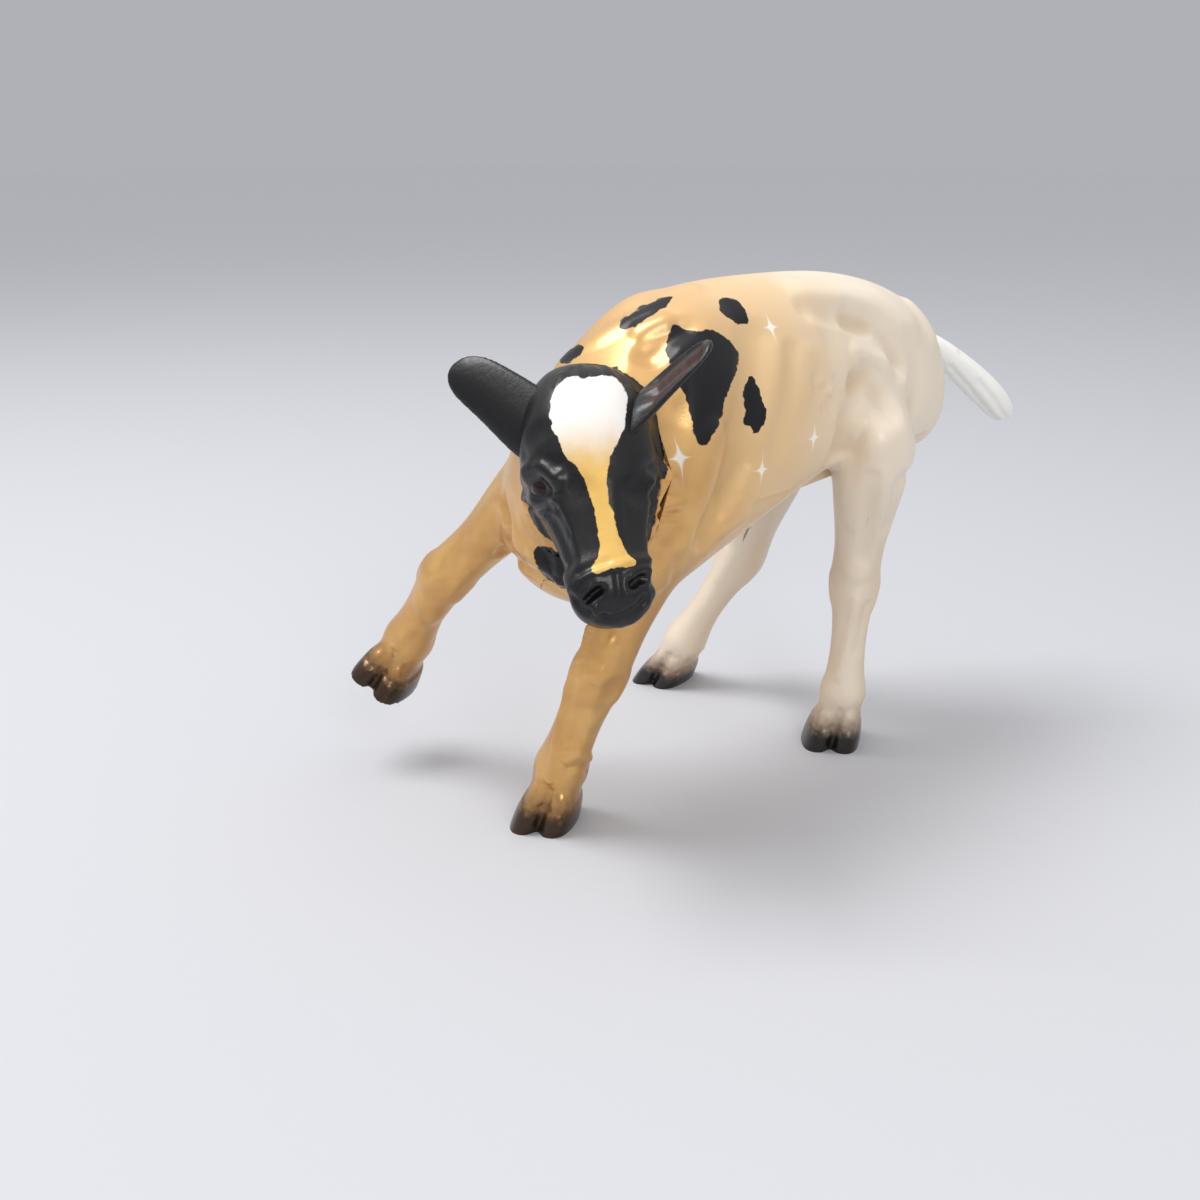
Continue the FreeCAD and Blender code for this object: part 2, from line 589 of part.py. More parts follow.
ear_plugs = {}
for name, ear in EARS.items():
    side = head_left * ear["side"]
    along, inward, outward = ear["root_shares"]
    root = (poll + muzzleward * (along * size("head_length"))
            - browward * (inward * size("head_depth")) + side * (outward * size("head_width")))
    axis = tilted(heading(ear["turn"]), Vector(0, 0, 1), ear["rise"])
    facing, lifting = ear["opening_shares"]
    opening = face * facing + Vector(0, 0, lifting)
    opening = (opening - axis * opening.dot(axis)).normalize()
    flat = axis.cross(opening)
    rings = []
    scoops = []
    for number, (reach, breadth, thickness) in enumerate(EAR_SHARES):
        centre = root + axis * (reach * size("ear_length"))
        half_breadth = breadth * size("ear_breadth") / 2
        half_thickness = thickness * size("ear_thickness") / 2
        rings.append(ring(centre, flat, opening, half_breadth, half_thickness, EAR_SIDES))
        if number > 0:
            scoops.append(ring(centre + opening * half_thickness, flat, opening,
                               half_breadth * EAR_CUP_SHARE, thickness * size("ear_cup_depth"),
                               EAR_SIDES))
    ear_form = boolean("Part::Cut", name + "_cupped", skin(name + "_form", rings),
                       skin(name + "_scoop", scoops))
    inward_point = root - axis * size("plug_length")
    plug = cylinder(name + "_plug", inward_point, axis, "Sizes.plug_diameter / 2",
                    "Sizes.plug_length * 2")
    ear_plugs[name] = cylinder(name + "_socket", inward_point - axis * size("bond_gap"), axis,
                               "Sizes.plug_diameter / 2 + Sizes.bond_gap", "Sizes.plug_length * 2")
    visible = boolean("Part::Cut", name + "_visible", ear_form, head_form)
    rooted = fuse(name + "_rooted", [visible, plug])
    nodes[name] = boolean("Part::Cut", name + "_piece", rooted, torso_outer)

for label, sign in (("left", 1), ("right", -1)):
    side_block = half_space("head_%s_block" % label, poll, head_left * sign)
    halves = [boolean("Part::Common", "%s_%s_half" % (item.Name, label), item, side_block)
              for item in (head_hollow, nape, collar)]
    nodes["head_shell_" + label] = boolean("Part::Cut", "head_%s_shell" % label,
                                           fuse("head_%s_joined" % label, halves),
                                           ear_plugs["ear_" + label])

doc.recompute()
for item in doc.Objects:
    if "Invalid" in item.State or "Error" in item.State:
        raise RuntimeError("%s failed: %s" % (item.Name, item.State))

whole = Part.makeCompound([item.Shape for item in nodes.values()])
bounds = whole.optimalBoundingBox(False, False)
shift = Vector(-(bounds.XMin + bounds.XMax) / 2, -(bounds.YMin + bounds.YMax) / 2, -bounds.ZMin)
os.makedirs("parts", exist_ok=True)
for name, item in nodes.items():
    item.Label = name
    item.Placement = Placement(shift, Rotation())
    shape = item.Shape
    if shape.isNull() or not shape.isValid():
        raise RuntimeError(name + " has no valid solid")
    shape.exportStep("parts/%s.step" % name)
    print(name, len(shape.Solids), round(shape.Volume, 1))
print("size", bounds.XLength, bounds.YLength, bounds.ZLength, "shift", shift)
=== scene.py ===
"""Calf figurine: the painted look of the moulded parts.

The calf is modelled as smooth forms that are merged into one skin, sculpted, and then parted on the
same planes as the moulded parts. Each parting piece stands for its moulded part. The paint is worked
out from the shape and from places seen in the photograph, whose frame is 1200 by 1200 pixels.
"""
import json
import logging
import math
from dataclasses import dataclass, field
from enum import Enum
from typing import Callable, Optional, Sequence

import bmesh
import bpy
import numpy as np
from mathutils import Euler, Matrix, Vector
from mathutils.bvhtree import BVHTree

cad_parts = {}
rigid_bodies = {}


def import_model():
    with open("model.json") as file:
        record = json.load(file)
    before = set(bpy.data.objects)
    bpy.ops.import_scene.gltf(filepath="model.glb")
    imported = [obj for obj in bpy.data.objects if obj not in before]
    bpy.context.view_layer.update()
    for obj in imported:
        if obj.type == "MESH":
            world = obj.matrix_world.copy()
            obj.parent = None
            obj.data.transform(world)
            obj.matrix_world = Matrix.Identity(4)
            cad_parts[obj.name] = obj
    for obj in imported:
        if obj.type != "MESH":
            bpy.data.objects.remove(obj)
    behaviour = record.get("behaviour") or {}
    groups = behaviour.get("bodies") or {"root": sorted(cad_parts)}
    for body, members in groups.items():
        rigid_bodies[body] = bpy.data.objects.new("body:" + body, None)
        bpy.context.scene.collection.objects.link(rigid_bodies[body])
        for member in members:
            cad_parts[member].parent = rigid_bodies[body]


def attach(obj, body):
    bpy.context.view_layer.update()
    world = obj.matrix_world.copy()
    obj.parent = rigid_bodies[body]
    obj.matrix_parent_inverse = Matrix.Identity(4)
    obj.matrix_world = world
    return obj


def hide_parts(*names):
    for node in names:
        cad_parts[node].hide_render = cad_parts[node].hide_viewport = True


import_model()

LOG = logging.getLogger("calf")
MM = 0.001
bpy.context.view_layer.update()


# Driving dimensions

@dataclass(frozen=True)
class Measure:
    """Driving sizes of the figure in millimetres, as the moulded parts have them."""

    trunk_length: float = 100.0
    back_height: float = 85.0
    chest_depth: float = 44.0
    barrel_width: float = 31.0
    head_length: float = 34.0
    head_width: float = 19.5
    head_depth: float = 18.0
    ear_length: float = 14.0
    ear_breadth: float = 7.4
    ear_thickness: float = 3.0
    tail_thickness: float = 6.0
    knee_thickness: float = 9.0
    hock_thickness: float = 8.8
    hoof_length: float = 13.0
    hoof_width: float = 10.4
    origin: tuple[float, float, float] = (12.42, -7.42, 0.0)


BODY = Measure()
SKIN_VOXEL = 0.38
SMOOTH_LEVELS = 3
CUT_EXACTNESS = 0.00001
UP = np.array((0.0, 0.0, 1.0))


def heading(turn: float) -> np.ndarray:
    """Level direction that turns from the calf's front towards its left, in degrees."""
    angle = math.radians(turn)
    return np.array((math.sin(angle), -math.cos(angle), 0.0))


def leftward(turn: float) -> np.ndarray:
    """Level direction to the left of a heading."""
    angle = math.radians(turn)
    return np.array((math.cos(angle), math.sin(angle), 0.0))


def tilted(first: np.ndarray, second: np.ndarray, angle: float) -> np.ndarray:
    """First direction turned towards the second by an angle in degrees."""
    return first * math.cos(math.radians(angle)) + second * math.sin(math.radians(angle))


def body_place(across: float, along: float, height: float) -> np.ndarray:
    """Point of the figure from shares of its width, length and height, in millimetres."""
    place = np.array((across * BODY.barrel_width, along * BODY.trunk_length, height * BODY.back_height))
    return place + np.array(BODY.origin)


def unit(vector: np.ndarray) -> np.ndarray:
    """The vector at length one."""
    return vector / np.linalg.norm(vector)


def fade(values: np.ndarray, low: float, high: float) -> np.ndarray:
    """Smooth step of values from 0 at low to 1 at high."""
    share = np.clip((values - low) / (high - low), 0.0, 1.0)
    return share * share * (3.0 - 2.0 * share)


# The photograph's viewpoint

@dataclass(frozen=True)
class Viewpoint:
    """Where the photograph was taken from, and how it maps to its pixels."""

    azimuth: float = 44.0
    pitch: float = 18.0
    distance: float = 218.8
    target: tuple[float, float, float] = (11.02, -33.52, 37.0)
    focal_px: float = 1400.0
    frame_px: float = 1200.0
    sensor: float = 36.0

    def back(self) -> np.ndarray:
        """Direction from the figure to the camera."""
        level = heading(self.azimuth)
        return level * math.cos(math.radians(self.pitch)) + UP * math.sin(math.radians(self.pitch))

    def right(self) -> np.ndarray:
        """Direction to the right of the picture."""
        return leftward(self.azimuth)

    def position(self) -> np.ndarray:
        """Place of the camera in millimetres."""
        return np.array(self.target) + self.back() * self.distance

    def project(self, points: np.ndarray) -> np.ndarray:
        """Pixels of points.

        Args:
            points: Rows of x, y, z in millimetres.

        Returns:
            Rows of pixel coordinates, counted right and down.
        """
        back = self.back()
        upward = np.cross(back, self.right())
        offset = points - self.position()
        depth = offset @ -back
        half = self.frame_px / 2
        return np.stack((half + self.focal_px * (offset @ self.right()) / depth,
                         half - self.focal_px * (offset @ upward) / depth), axis=1)

    def sight(self, pixel: Sequence[float]) -> np.ndarray:
        """Direction from the camera through a pixel."""
        back = self.back()
        upward = np.cross(back, self.right())
        half = self.frame_px / 2
        return unit(-back + self.right() * ((pixel[0] - half) / self.focal_px)
                    - upward * ((pixel[1] - half) / self.focal_px))


PHOTO = Viewpoint()


# Forms

def ring(centre: np.ndarray, sideways: np.ndarray, upward: np.ndarray, half_width: float,
         rise: float, sides: int, taper: float = 0.0, box: float = 0.0) -> np.ndarray:
    """Oval section round a centre.

    Args:
        centre: Middle of the section.
        sideways: Direction of its width.
        upward: Direction of its height.
        half_width: Half its width in millimetres.
        rise: Half its height in millimetres.
        sides: How many points it has.
        taper: How much narrower it is at the top.
        box: How much flatter its sides are than an ellipse's.

    Returns:
        Rows of points in millimetres.
    """
    angles = math.tau * np.arange(sides) / sides
    side = np.copysign(np.abs(np.cos(angles)) ** (1 - box), np.cos(angles))
    lift = np.copysign(np.abs(np.sin(angles)) ** (1 - box), np.sin(angles))
    swell = 3.0 / (2.0 + math.cos(math.tau / sides))
    return (centre + np.outer(half_width * swell * side * (1 - taper * lift), sideways)
            + np.outer(rise * swell * lift, upward))


def deselect() -> None:
    """Leaves nothing selected, outside edit mode."""
    if bpy.context.object and bpy.context.object.mode != "OBJECT":
        bpy.ops.object.mode_set(mode="OBJECT")
    bpy.ops.object.select_all(action="DESELECT")


def choose(item: bpy.types.Object) -> None:
    """Selects one object and makes it active."""
    deselect()
    item.select_set(True)
    bpy.context.view_layer.objects.active = item


def apply_modifiers(item: bpy.types.Object) -> None:
    """Applies each of the object's modifiers."""
    choose(item)
    for modifier in list(item.modifiers):
        bpy.ops.object.modifier_apply(modifier=modifier.name)


def skin(name: str, rings: Sequence[np.ndarray], levels: int = SMOOTH_LEVELS) -> bpy.types.Object:
    """Smooth closed form drawn through rings that have equally many points.

    Args:
        name: Name of the object.
        rings: The sections in order, in millimetres.
        levels: Levels of smooth subdivision.

    Returns:
        The form as an object at the origin.
    """
    deselect()
    bpy.ops.mesh.primitive_circle_add(vertices=len(rings[0]), radius=MM, fill_type="NGON")
    item = bpy.context.object
    item.name = name
    bpy.ops.object.mode_set(mode="EDIT")
    mesh = bmesh.from_edit_mesh(item.data)
    corner = mesh.verts.layers.int.new("corner")
    for number, vertex in enumerate(mesh.verts):
        vertex[corner] = number
        vertex.co = Vector(rings[0][number] * MM)
    for section in rings[1:]:
        bpy.ops.mesh.extrude_region_move()
        mesh = bmesh.from_edit_mesh(item.data)
        corner = mesh.verts.layers.int["corner"]
        for vertex in mesh.verts:
            if vertex.select:
                vertex.co = Vector(section[vertex[corner]] * MM)
    bpy.ops.mesh.select_all(action="DESELECT")
    bpy.ops.mesh.select_mode(type="EDGE")
    bpy.ops.mesh.select_non_manifold(extend=False)
    bpy.ops.mesh.edge_face_add()
    bpy.ops.mesh.select_all(action="SELECT")
    bpy.ops.mesh.normals_make_consistent(inside=False)
    bpy.ops.object.mode_set(mode="OBJECT")
    smooth = item.modifiers.new("smooth", "SUBSURF")
    smooth.levels = levels
    smooth.render_levels = levels
    apply_modifiers(item)
    return item


def join(name: str, items: Sequence[bpy.types.Object]) -> bpy.types.Object:
    """One object of several."""
    deselect()
    for item in items:
        item.select_set(True)
    bpy.context.view_layer.objects.active = items[0]
    bpy.ops.object.join()
    items[0].name = name
    return items[0]


# Sculpting

@dataclass(frozen=True)
class Stroke:
    """One stroke of a sculpting tool along a path.

    A place of two numbers is a pixel of the photograph, where the tool lands on the skin. A place of
    three is a point in millimetres. Radius and depth are millimetres, and a negative depth presses in.
    """

    places: tuple
    radius: float
    depth: float
    mirrored: bool = False


@dataclass(frozen=True)
class Blend:
    """A ball in which the skin is rubbed smooth."""

    place: tuple
    radius: float
    rounds: int


class Clay:
    """The skin as arrays that strokes move."""

    def __init__(self, item: bpy.types.Object) -> None:
        """Reads the object's mesh, in millimetres."""
        self.item = item
        mesh = item.data
        count = len(mesh.vertices)
        flat = np.empty(count * 3)
        mesh.vertices.foreach_get("co", flat)
        self.points = flat.reshape(-1, 3) / MM
        ends = np.empty(len(mesh.edges) * 2, dtype=np.int64)
        mesh.edges.foreach_get("vertices", ends)
        self.ends = ends.reshape(-1, 2)
        self.valence = np.bincount(self.ends.ravel(), minlength=count).astype(float)
        self.tree: Optional[BVHTree] = None
        self.plain = self.points

    def write(self) -> None:
        """Puts the points back into the mesh."""
        self.item.data.vertices.foreach_set("co", (self.points * MM).ravel())
        self.item.data.update()

    def normals(self) -> np.ndarray:
        """Outward directions at the points."""
        self.write()
        flat = np.empty(len(self.points) * 3)
        self.item.data.vertices.foreach_get("normal", flat)
        return flat.reshape(-1, 3)

    def average(self, values: np.ndarray) -> np.ndarray:
        """Mean of each point's neighbours."""
        first, second = self.ends[:, 0], self.ends[:, 1]
        total = np.empty_like(values)
        for axis in range(values.shape[1]):
            column = values[:, axis]
            total[:, axis] = (np.bincount(first, column[second], len(values))
                              + np.bincount(second, column[first], len(values)))
        return total / self.valence[:, None]

    def relax(self, weights: np.ndarray, rounds: int) -> None:
        """Rubs the skin smooth where the weights are above zero, keeping its volume."""
        for _ in range(rounds):
            self.points += (self.average(self.points) - self.points) * (weights * 0.55)[:, None]
            self.points -= (self.average(self.points) - self.points) * (weights * 0.50)[:, None]

    def melt(self, weights: np.ndarray, rounds: int) -> None:
        """Rubs the skin smooth and lets it sink at ridges and fill at creases."""
        for _ in range(rounds):
            self.points += (self.average(self.points) - self.points) * (weights * 0.6)[:, None]

    def refresh(self) -> None:
        """Prepares the skin for landing strokes on it."""
        self.write()
        graph = bpy.context.evaluated_depsgraph_get()
        self.tree = BVHTree.FromObject(self.item, graph)

    def land(self, place: Sequence[float]) -> np.ndarray:
        """Point in millimetres for a pixel of the photograph or a point near the skin."""
        if len(place) == 3:
            return np.array(place, dtype=float)
        start = Vector(PHOTO.position() * MM)
        sight = Vector(PHOTO.sight(place))
        hit = self.tree.ray_cast(start, sight)[0]
        if hit is None:
            reach = PHOTO.distance * MM
            tries = [self.tree.find_nearest(start + sight * (reach * (0.7 + 0.01 * n))) for n in range(60)]
            hit = min(tries, key=lambda found: found[3])[0]
        return np.array(hit) / MM

    def press(self, stroke: Stroke, mirror: Callable[[np.ndarray], np.ndarray]) -> None:
        """Moves the skin along its normals near the stroke's path."""
        path = [self.land(place) for place in stroke.places]
        self.press_path(path, stroke.radius, stroke.depth)
        if stroke.mirrored:
            found = [self.tree.find_nearest(Vector(mirror(point) * MM))[0] for point in path]
            self.press_path([np.array(point) / MM for point in found], stroke.radius, stroke.depth)

    def press_path(self, path: Sequence[np.ndarray], radius: float, depth: float) -> None:
        """Moves the skin along its normals near a path in millimetres."""
        low = np.min(path, axis=0) - radius
        high = np.max(path, axis=0) + radius
        near = np.nonzero(np.all((self.points > low) & (self.points < high), axis=1))[0]
        if not len(near):
            return
        away = distance_to_path(self.points[near], path)
        share = np.clip(1.0 - (away / radius) ** 2, 0.0, 1.0) ** 2
        self.points[near] += self.normals()[near] * (share * depth)[:, None]


def distance_to_path(points: np.ndarray, path: Sequence[np.ndarray]) -> np.ndarray:
    """Least distance of each point to the path's straight runs, or to its only point."""
    if len(path) == 1:
        return np.linalg.norm(points - path[0], axis=1)
    best = np.full(len(points), np.inf)
    for start, end in zip(path, path[1:]):
        run = end - start
        share = np.clip(((points - start) @ run) / max(run @ run, 1e-9), 0.0, 1.0)
        best = np.minimum(best, np.linalg.norm(points - start - share[:, None] * run, axis=1))
    return best


def inside_distance(points: np.ndarray, outline: Sequence[Sequence[float]]) -> np.ndarray:
    """Distance of flat points to a closed outline, positive inside it."""
    corners = rounded(np.array(outline, dtype=float))
    path = [np.append(corner, 0.0) for corner in corners] + [np.append(corners[0], 0.0)]
    flat = np.column_stack((points, np.zeros(len(points))))
    away = distance_to_path(flat, path)
    inside = np.zeros(len(points), dtype=bool)
    for (x0, y0), (x1, y1) in zip(corners, np.roll(corners, -1, axis=0)):
        crosses = (y0 > points[:, 1]) != (y1 > points[:, 1])
        slope = (x1 - x0) / (y1 - y0 if y1 != y0 else 1e-9)
        inside ^= crosses & (points[:, 0] < x0 + slope * (points[:, 1] - y0))
    return np.where(inside, away, -away)


def rounded(corners: np.ndarray, rounds: int = 2) -> np.ndarray:
    """The closed outline with its corners cut off, twice over."""
    for _ in range(rounds):
        following = np.roll(corners, -1, axis=0)
        corners = np.stack((corners * 0.75 + following * 0.25,
                            corners * 0.25 + following * 0.75), axis=1).reshape(-1, 2)
    return corners


# Trunk and tail

@dataclass(frozen=True)
class Trunk:
    """The body from rump to throat."""

    # along, top, depth, width, across, climb, turn, taper, box as shares of the driving sizes
    station_shares: tuple = (
        (0.512, 0.800, 0.34, 0.30, 0.13, 0, 0, 0.00, 0.00),
        (0.492, 0.862, 0.48, 0.58, 0.13, 0, 0, 0.05, 0.10),
        (0.430, 0.922, 0.62, 0.78, 0.12, 0, 0, 0.05, 0.15),
        (0.340, 0.974, 0.73, 0.88, 0.10, 0, 0, 0.05, 0.15),
        (0.220, 0.998, 0.74, 0.87, 0.08, 0, 0, 0.08, 0.10),
        (0.100, 1.000, 0.81, 0.95, 0.06, 0, 0, 0.12, 0.10),
        (-0.020, 1.000, 0.90, 1.00, 0.05, 0, 0, 0.14, 0.10),
        (-0.140, 0.990, 0.98, 0.99, 0.03, 0, 0, 0.18, 0.10),
        (-0.205, 0.954, 0.98, 1.04, 0.01, 6, 0, 0.20, 0.20),
        (-0.250, 0.908, 0.92, 1.06, 0.00, 12, 0, 0.18, 0.20),
        (-0.290, 0.868, 0.76, 0.98, 0.04, 16, 6, 0.15, 0.15),
        (-0.318, 0.852, 0.60, 0.80, 0.11, 18, 14, 0.08, 0.05),
        (-0.345, 0.840, 0.46, 0.62, 0.19, 20, 22, 0.00, 0.00),
        (-0.385, 0.835, 0.42, 0.56, 0.27, 20, 30, 0.00, 0.00))
    sides: int = 20
    parting_share: float = 0.08
    throat_shares: tuple = (0.19, -0.345, 0.735)
    throat_turn: float = 22.0
    middle_share: float = 0.06
    throat_climb: float = 20.0

    def form(self) -> bpy.types.Object:
        """Smooth form of the trunk."""
        rings = []
        for along, top, depth, width, across, climb, turn, taper, box in self.station_shares:
            rise = depth * BODY.chest_depth / 2
            upward = tilted(UP, heading(turn), -climb)
            centre = body_place(across, along, top) - upward * rise
            rings.append(ring(centre, leftward(turn), upward, width * BODY.barrel_width / 2, rise,
                              self.sides, taper, box))
        return skin("trunk_form", rings)

    def parting(self) -> tuple[np.ndarray, np.ndarray]:
        """Point and direction of the plane between the left and the right shell."""
        return body_place(self.parting_share, 0.0, 0.0), np.array((1.0, 0.0, 0.0))

    def mirror(self, point: np.ndarray) -> np.ndarray:
        """The same place on the other side of the trunk."""
        return np.array((2 * body_place(self.middle_share, 0.0, 0.0)[0] - point[0], point[1], point[2]))

    def throat(self) -> tuple[np.ndarray, np.ndarray]:
        """Point and direction of the plane where the head is bonded on."""
        forward = tilted(heading(self.throat_turn), UP, self.throat_climb)
        return body_place(*self.throat_shares), forward


@dataclass(frozen=True)
class Tail:
    """The tail, held out with its switch of hair."""

    # across, along, height, girth as shares of the driving sizes
    place_shares: tuple = (
        (0.06, 0.420, 0.850, 0.62), (0.16, 0.470, 0.845, 0.70), (0.24, 0.515, 0.825, 0.72),
        (0.32, 0.550, 0.790, 0.80), (0.40, 0.590, 0.745, 0.96), (0.47, 0.622, 0.705, 1.00),
        (0.52, 0.643, 0.675, 0.84), (0.555, 0.655, 0.657, 0.46))
    sides: int = 12
    parting_number: int = 3
    lock_turns: tuple = (10, 55, 100, 145, 190, 235, 280, 325)
    lock_radius: float = 0.75
    lock_depth: float = -0.42

    def points(self) -> list[np.ndarray]:
        """Places along the middle of the tail."""
        return [body_place(*shares[:3]) for shares in self.place_shares]

    def axes(self, number: int) -> tuple[np.ndarray, np.ndarray, np.ndarray]:
        """Direction along the tail at a place, and two square to it."""
        points = self.points()
        along = unit(points[min(number + 1, len(points) - 1)] - points[max(number - 1, 0)])
        side = unit(np.cross(UP, along))
        return along, side, np.cross(along, side)

    def form(self) -> bpy.types.Object:
        """Smooth form of the tail."""
        rings = []
        for number, (point, shares) in enumerate(zip(self.points(), self.place_shares)):
            _, side, upward = self.axes(number)
            radius = shares[3] * BODY.tail_thickness / 2
            rings.append(ring(point, side, upward, radius, radius, self.sides))
        return skin("tail_form", rings)

    def strokes(self) -> list[Stroke]:
        """Grooves between the locks of hair."""
        strokes = []
        for order, turn in enumerate(self.lock_turns):
            path = []
            for number in range(3 + order % 2, len(self.place_shares)):
                _, side, upward = self.axes(number)
                radius = self.place_shares[number][3] * BODY.tail_thickness / 2
                angle = math.radians(turn + number * 9)
                path.append(tuple(self.points()[number]
                                  + (side * math.cos(angle) + upward * math.sin(angle)) * radius))
            strokes.append(Stroke(tuple(path), self.lock_radius, self.lock_depth))
        return strokes


# Legs

class Limb(Enum):
    """Which pair a leg belongs to."""

    FORE = "foreleg"
    HIND = "hindleg"


# place, forward, depth, width, lean as shares, from the pastern up; the place counts joints passed
FORE_GIRTH_SHARES = (
    (0.42, 0.02, 0.88, 0.86, 0.7), (0.62, 0.00, 0.92, 0.86, 0.8), (0.80, -0.02, 0.98, 0.92, 0.9),
    (1.00, -0.06, 1.10, 1.02, 1.0), (1.20, -0.02, 0.90, 0.84, 1.0), (1.45, 0.00, 0.86, 0.78, 1.0),
    (1.72, 0.02, 0.90, 0.84, 1.0), (1.88, 0.04, 1.00, 0.96, 1.0), (2.02, 0.04, 1.02, 1.00, 1.0),
    (2.20, 0.00, 0.98, 0.95, 1.0), (2.40, -0.03, 1.10, 0.98, 1.0), (2.65, -0.08, 1.34, 1.12, 0.9),
    (3.10, -0.10, 1.95, 1.52, 0.5), (4.00, 0.00, 1.90, 1.20, 0.0))
HIND_GIRTH_SHARES = (
    (0.42, 0.02, 0.90, 0.84, 0.7), (0.62, 0.00, 0.94, 0.84, 0.8), (0.80, -0.02, 0.98, 0.88, 0.9),
    (1.00, -0.06, 1.10, 1.00, 1.0), (1.20, -0.02, 0.86, 0.76, 1.0), (1.45, 0.00, 0.84, 0.70, 1.0),
    (1.72, -0.05, 0.96, 0.76, 1.0), (1.92, -0.12, 1.32, 1.00, 1.0), (2.06, -0.12, 1.34, 1.00, 1.0),
    (2.30, -0.05, 1.28, 0.93, 1.0), (2.60, 0.05, 1.80, 1.28, 0.8), (3.00, 0.10, 2.85, 1.62, 0.4),
    (3.50, 0.10, 2.90, 1.28, 0.2), (4.00, 0.05, 2.20, 0.80, 0.0))
# Claw from below the sole to the pastern: place, forward, depth, half width, offset as shares
CLAW_SHARES = (
    (-0.30, 0.10, 0.94, 0.265, 0.236), (-0.10, 0.10, 0.98, 0.272, 0.236), (0.14, 0.08, 0.94, 0.272, 0.230),
    (0.36, 0.05, 0.86, 0.262, 0.208), (0.60, 0.02, 0.74, 0.235, 0.170), (0.85, 0.00, 0.50, 0.150, 0.120))


